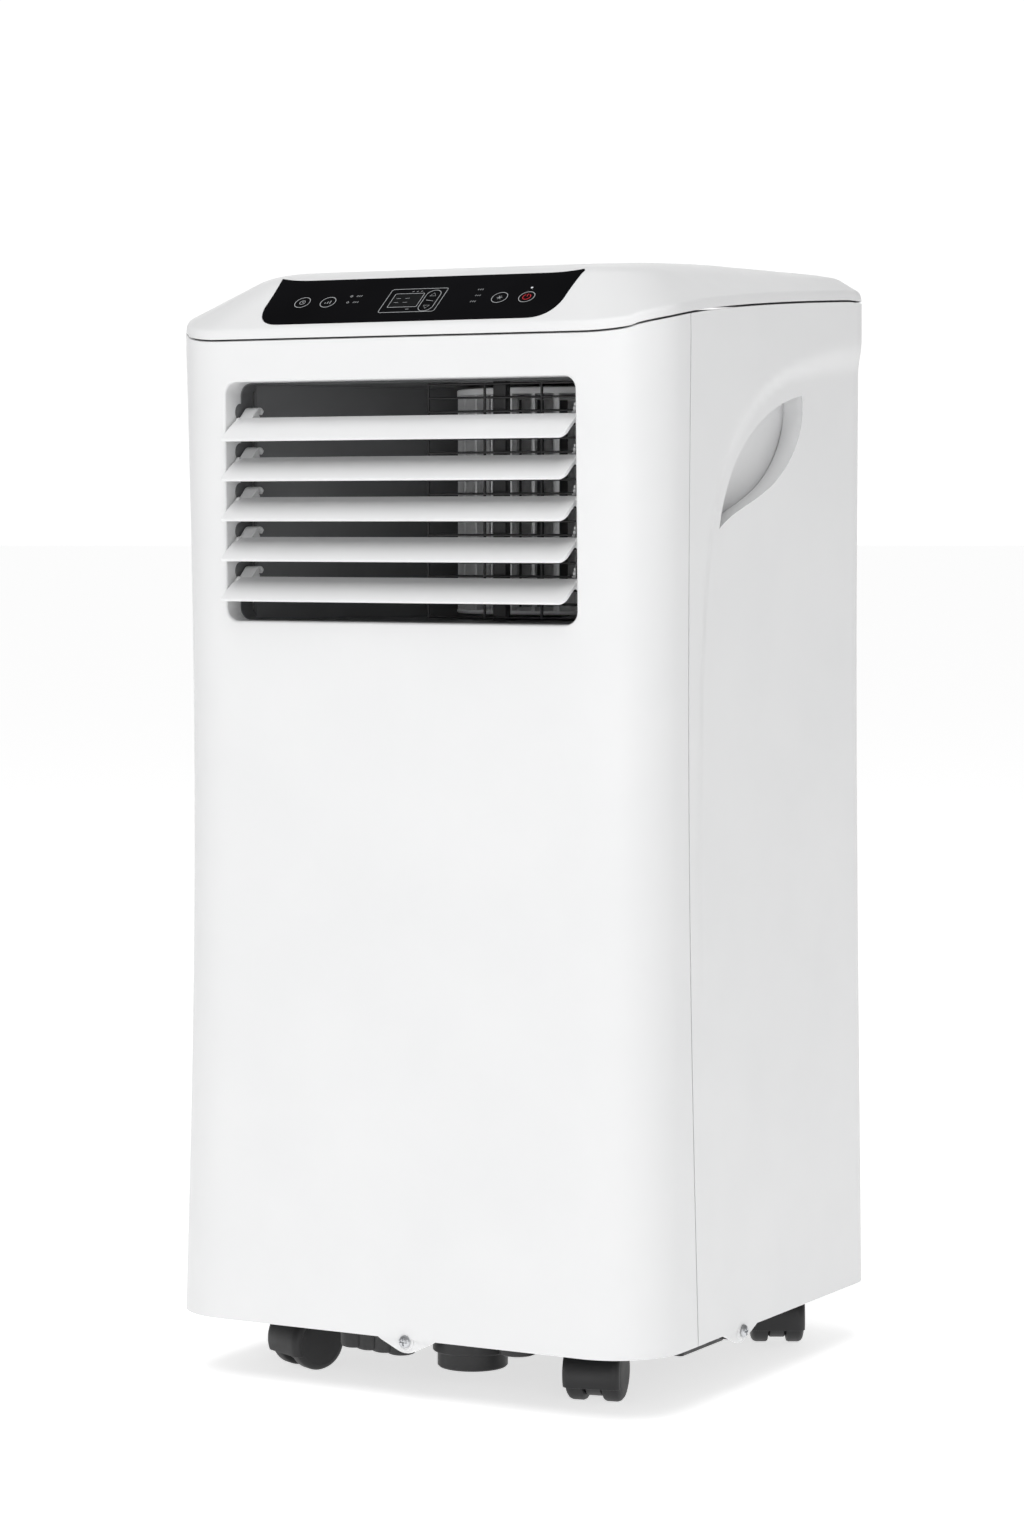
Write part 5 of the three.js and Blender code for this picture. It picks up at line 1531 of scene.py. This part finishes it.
def caster_place(name):
    """Maps a caster's own axes to the cabinet's: the swivel is its Z axis and the wheels trail along +Y."""
    axle_low, axle_high = box_mm(f"caster_axle_{name}")
    hub = (axle_low + axle_high) / 2
    joint = next(j for j in frame["joints"] if j["child"] == f"caster_{name}")
    swivel = Vector(joint["pos_m"]) / MM
    heading = math.atan2(hub.y - swivel.y, hub.x - swivel.x) - math.pi / 2
    turn = Matrix.Rotation(heading, 4, "Z")
    return Matrix.Translation((swivel.x, swivel.y, 0)) @ turn


def hood_profile():
    """Half section of the hood: (distance from the caster's middle, radius), with rounded shoulders."""
    half = WEB / 2 + WHEEL_WIDTH + 0.6
    outer = WHEEL_RADIUS + 2.6
    shoulder = 5
    points = [(x, outer) for x in spread(0, half - shoulder, 4)]
    points += [(half - shoulder + shoulder * math.sin(a), outer - shoulder * (1 - math.cos(a)) * 0.8)
               for a in (math.radians(x) for x in (18, 36, 54, 72, 90))]
    return points


def hood_point(x, radius, share):
    """A point of the hood, from its level lower edge at the front over the top to its rear edge."""
    front = -math.acos((HOOD_EDGE - WHEEL_RADIUS) / radius)
    angle = lerp(front, math.asin(HOOD_REAR / radius), share)
    return x, TRAIL + radius * math.sin(angle), WHEEL_RADIUS + radius * math.cos(angle)


def make_caster(name):
    to_row = caster_place(name)

    def place(u, v, w):
        return to_row @ Vector((u, v, w))

    shape = Shape()
    profile = hood_profile()
    full = [(-x, r) for x, r in reversed(profile[1:])] + profile
    thin = [(x * 0.96, r - 1.5) for x, r in full]
    outer, inner = [], []
    for share in spread(0, 1, 30):
        for rows, section in ((outer, full), (inner, thin)):
            rows.append(shape.ring(place(*hood_point(x, r, share)) for x, r in section))
    shape.bridge_all(outer, closed=False)
    shape.bridge_all(inner, closed=False)
    shape.bridge(border_ring(outer), border_ring(inner))
    web = WEB / 2
    lathe(shape, [(0, -web), (14, -web), (15, -web + 1), (15, web - 1), (14, web), (0, web)],
          lambda u, v, w: place(w, TRAIL + u, WHEEL_RADIUS + v), 40)
    spine = [(-4.5, 19), (-4.5, 33), (-2, 37.8), (14, 37.8), (17, 34), (12, 20)]
    plate(shape, [clockwise(spine)], lambda u, v, w: place(w, u, v), -web, web, 0.6, 2)
    lathe(shape, [(0, 32), (8, 32), (8.5, 32.5), (8.5, 39.3), (8, 39.8), (5.5, 39.8), (5.5, 48.4), (4.9, 49),
                  (0, 49)], place, 36)
    make_piece(f"caster_cover_{name}", shape, f"caster_{name}", "black_plastic", [f"caster_hood_{name}"],
               bevel=0.35)
    for sign, label in ((-1, "a"), (1, "b")):
        make_wheel(name, label, sign, place)


def make_wheel(name, label, sign, place):
    start = WEB / 2 + 0.3
    width, radius = WHEEL_WIDTH, WHEEL_RADIUS
    profile = [
        (0, width - 0.5), (2.5, width - 0.5), (2.5, 0), (radius - 2, 0), (radius - 0.6, 0.5), (radius, 1.8),
        (radius, width - 4), (radius - 0.7, width - 2.2), (radius - 2.2, width - 1),
        (radius - 4, width - 0.5), (radius - 4.5, width - 0.6), (radius - 5, width - 0.25),
        (radius - 9, width), (0, width),
    ]
    shape = Shape()
    lathe(shape, profile, lambda u, v, w: place(sign * (start + w), TRAIL + u, radius + v), 56)
    make_piece(f"wheel_{name}_{label}_tyre", shape, f"wheel_{name}_{label}", "caster_tread",
               [f"caster_wheel_{name}_{label}"])


# ------------------------------------------------------------------ the rest of the frame
def finish_cad_nodes():
    """Every CAD node that stays gets its slot's material."""
    for entry in frame["record"]["subparts"]:
        piece = frame["nodes"][entry["node"]]
        piece.data.materials.clear()
        piece.data.materials.append(MATERIALS[entry["material_slot"]])


# ------------------------------------------------------------------ stage
VIEW_ANGLE = math.radians(29)
CAMERA_DISTANCE = 2639.9
CAMERA_SIDE = -8.87
CAMERA_HEIGHT = 539
CAMERA_SET_BACK = -5.15
CAMERA_LENS = 95.37
CAMERA_SHIFT = -0.1593
SENSOR = 36
FLOOR_GLOW = 0.67


def make_camera():
    right = Vector((math.cos(VIEW_ANGLE), math.sin(VIEW_ANGLE), 0))
    forward = Vector((-math.sin(VIEW_ANGLE), math.cos(VIEW_ANGLE), 0))
    place = right * CAMERA_SIDE - forward * CAMERA_DISTANCE + Vector((0, CAMERA_SET_BACK, CAMERA_HEIGHT))
    data = bpy.data.cameras.new("camera")
    data.sensor_width = SENSOR
    data.sensor_fit = "VERTICAL"
    data.sensor_height = SENSOR
    data.lens = CAMERA_LENS
    data.shift_y = CAMERA_SHIFT
    data.clip_end = 100
    camera = bpy.data.objects.new("camera", data)
    camera.location = place * MM
    camera.rotation_euler = (math.radians(90), 0, VIEW_ANGLE)
    bpy.context.scene.collection.objects.link(camera)
    bpy.context.scene.camera = camera


def area_light(name, place, target, size, power):
    """A rectangular light at a place, turned toward a target, both in metres, with its power in watts."""
    data = bpy.data.lights.new(name, "AREA")
    data.shape = "RECTANGLE"
    data.size, data.size_y = size
    data.energy = power
    light = bpy.data.objects.new(name, data)
    light.location = place
    direction = Vector(target) - Vector(place)
    light.rotation_euler = direction.to_track_quat("-Z", "Y").to_euler()
    bpy.context.scene.collection.objects.link(light)
    return light


def make_stage():
    """Pale surroundings, a little brighter behind the camera and white behind the object, and two lights."""
    world = bpy.data.worlds.new("studio")
    bpy.context.scene.world = world
    world.use_nodes = True
    nodes, links = world.node_tree.nodes, world.node_tree.links
    background = nodes["Background"]
    place = nodes.new("ShaderNodeTexCoord")
    along = nodes.new("ShaderNodeVectorMath")
    along.operation = "DOT_PRODUCT"
    along.inputs[1].default_value = (-math.sin(VIEW_ANGLE), math.cos(VIEW_ANGLE), 0)
    links.new(place.outputs["Generated"], along.inputs[0])

    def level(start, end, low, high):
        node = nodes.new("ShaderNodeMapRange")
        for name, value in zip(("From Min", "From Max", "To Min", "To Max"), (start, end, low, high)):
            node.inputs[name].default_value = value
        links.new(along.outputs["Value"], node.inputs["Value"])
        return node.outputs["Result"]

    total = nodes.new("ShaderNodeMath")
    total.operation = "ADD"
    links.new(level(start=-1, end=0.2, low=0.4, high=0.28), total.inputs[0])
    links.new(level(start=0.8, end=0.92, low=0, high=0.78), total.inputs[1])
    links.new(total.outputs["Value"], background.inputs["Strength"])
    background.inputs["Color"].default_value = (1, 1, 1, 1)
    area_light("front", place=(2.3, -2.9, 1.0), target=(0, 0, 0.45), size=(1.2, 1.2), power=11)
    overhead = area_light("overhead", place=(0.2, -1.3, 2.9), target=(0, 0, 0.5), size=(2.4, 2.4), power=54)
    overhead.visible_glossy = False
    make_floor()
    bpy.context.scene.view_settings.view_transform = "Standard"
    bpy.context.scene.view_settings.look = "None"


def make_floor():
    """A wide round floor, too far across for its edge to stand out against the white surroundings."""
    reach, steps = 400.0, 96
    points = [(0, 0, 0)]
    points += [(reach * math.cos(2 * math.pi * i / steps), reach * math.sin(2 * math.pi * i / steps), 0)
               for i in range(steps)]
    faces = [(0, 1 + i, 1 + (i + 1) % steps) for i in range(steps)]
    floor = bpy.data.meshes.new("floor")
    floor.from_pydata(points, [], faces)
    piece = bpy.data.objects.new("floor", floor)
    bpy.context.scene.collection.objects.link(piece)
    pale = bpy.data.materials.new("pale_floor")
    pale.use_nodes = True
    shader = pale.node_tree.nodes["Principled BSDF"]
    shader.inputs["Base Color"].default_value = (0.9, 0.9, 0.9, 1)
    shader.inputs["Roughness"].default_value = 0.9
    shader.inputs["Specular IOR Level"].default_value = 0.0
    shader.inputs["Emission Color"].default_value = (1, 1, 1, 1)
    shader.inputs["Emission Strength"].default_value = FLOOR_GLOW
    floor.materials.append(pale)


make_camera()
make_stage()
make_materials()
make_front_shell()
make_rear_shell()
make_lid()
make_overlay()
make_key_marks()
make_panel_marks()
for number in range(LOUVRES):
    make_louvre(number)
make_louvre_link()
make_outlet_duct()
make_guard()
make_scroll()
make_blower_wheel()
make_grille("upper_grille", "upper_intake_grille", "filter_panel", UPPER_INTAKE, 12)
make_grille("lower_grille", "lower_intake_grille", "cabinet", LOWER_INTAKE, 9)
make_filter()
make_coil("evaporator_coil", "evaporator")
make_coil("condenser_coil", "condenser")
make_exhaust()
make_caps_and_gland()
make_lug_screws()
make_base_pan()
for corner in ("front_left", "front_right", "rear_left", "rear_right"):
    make_caster(corner)
finish_cad_nodes()
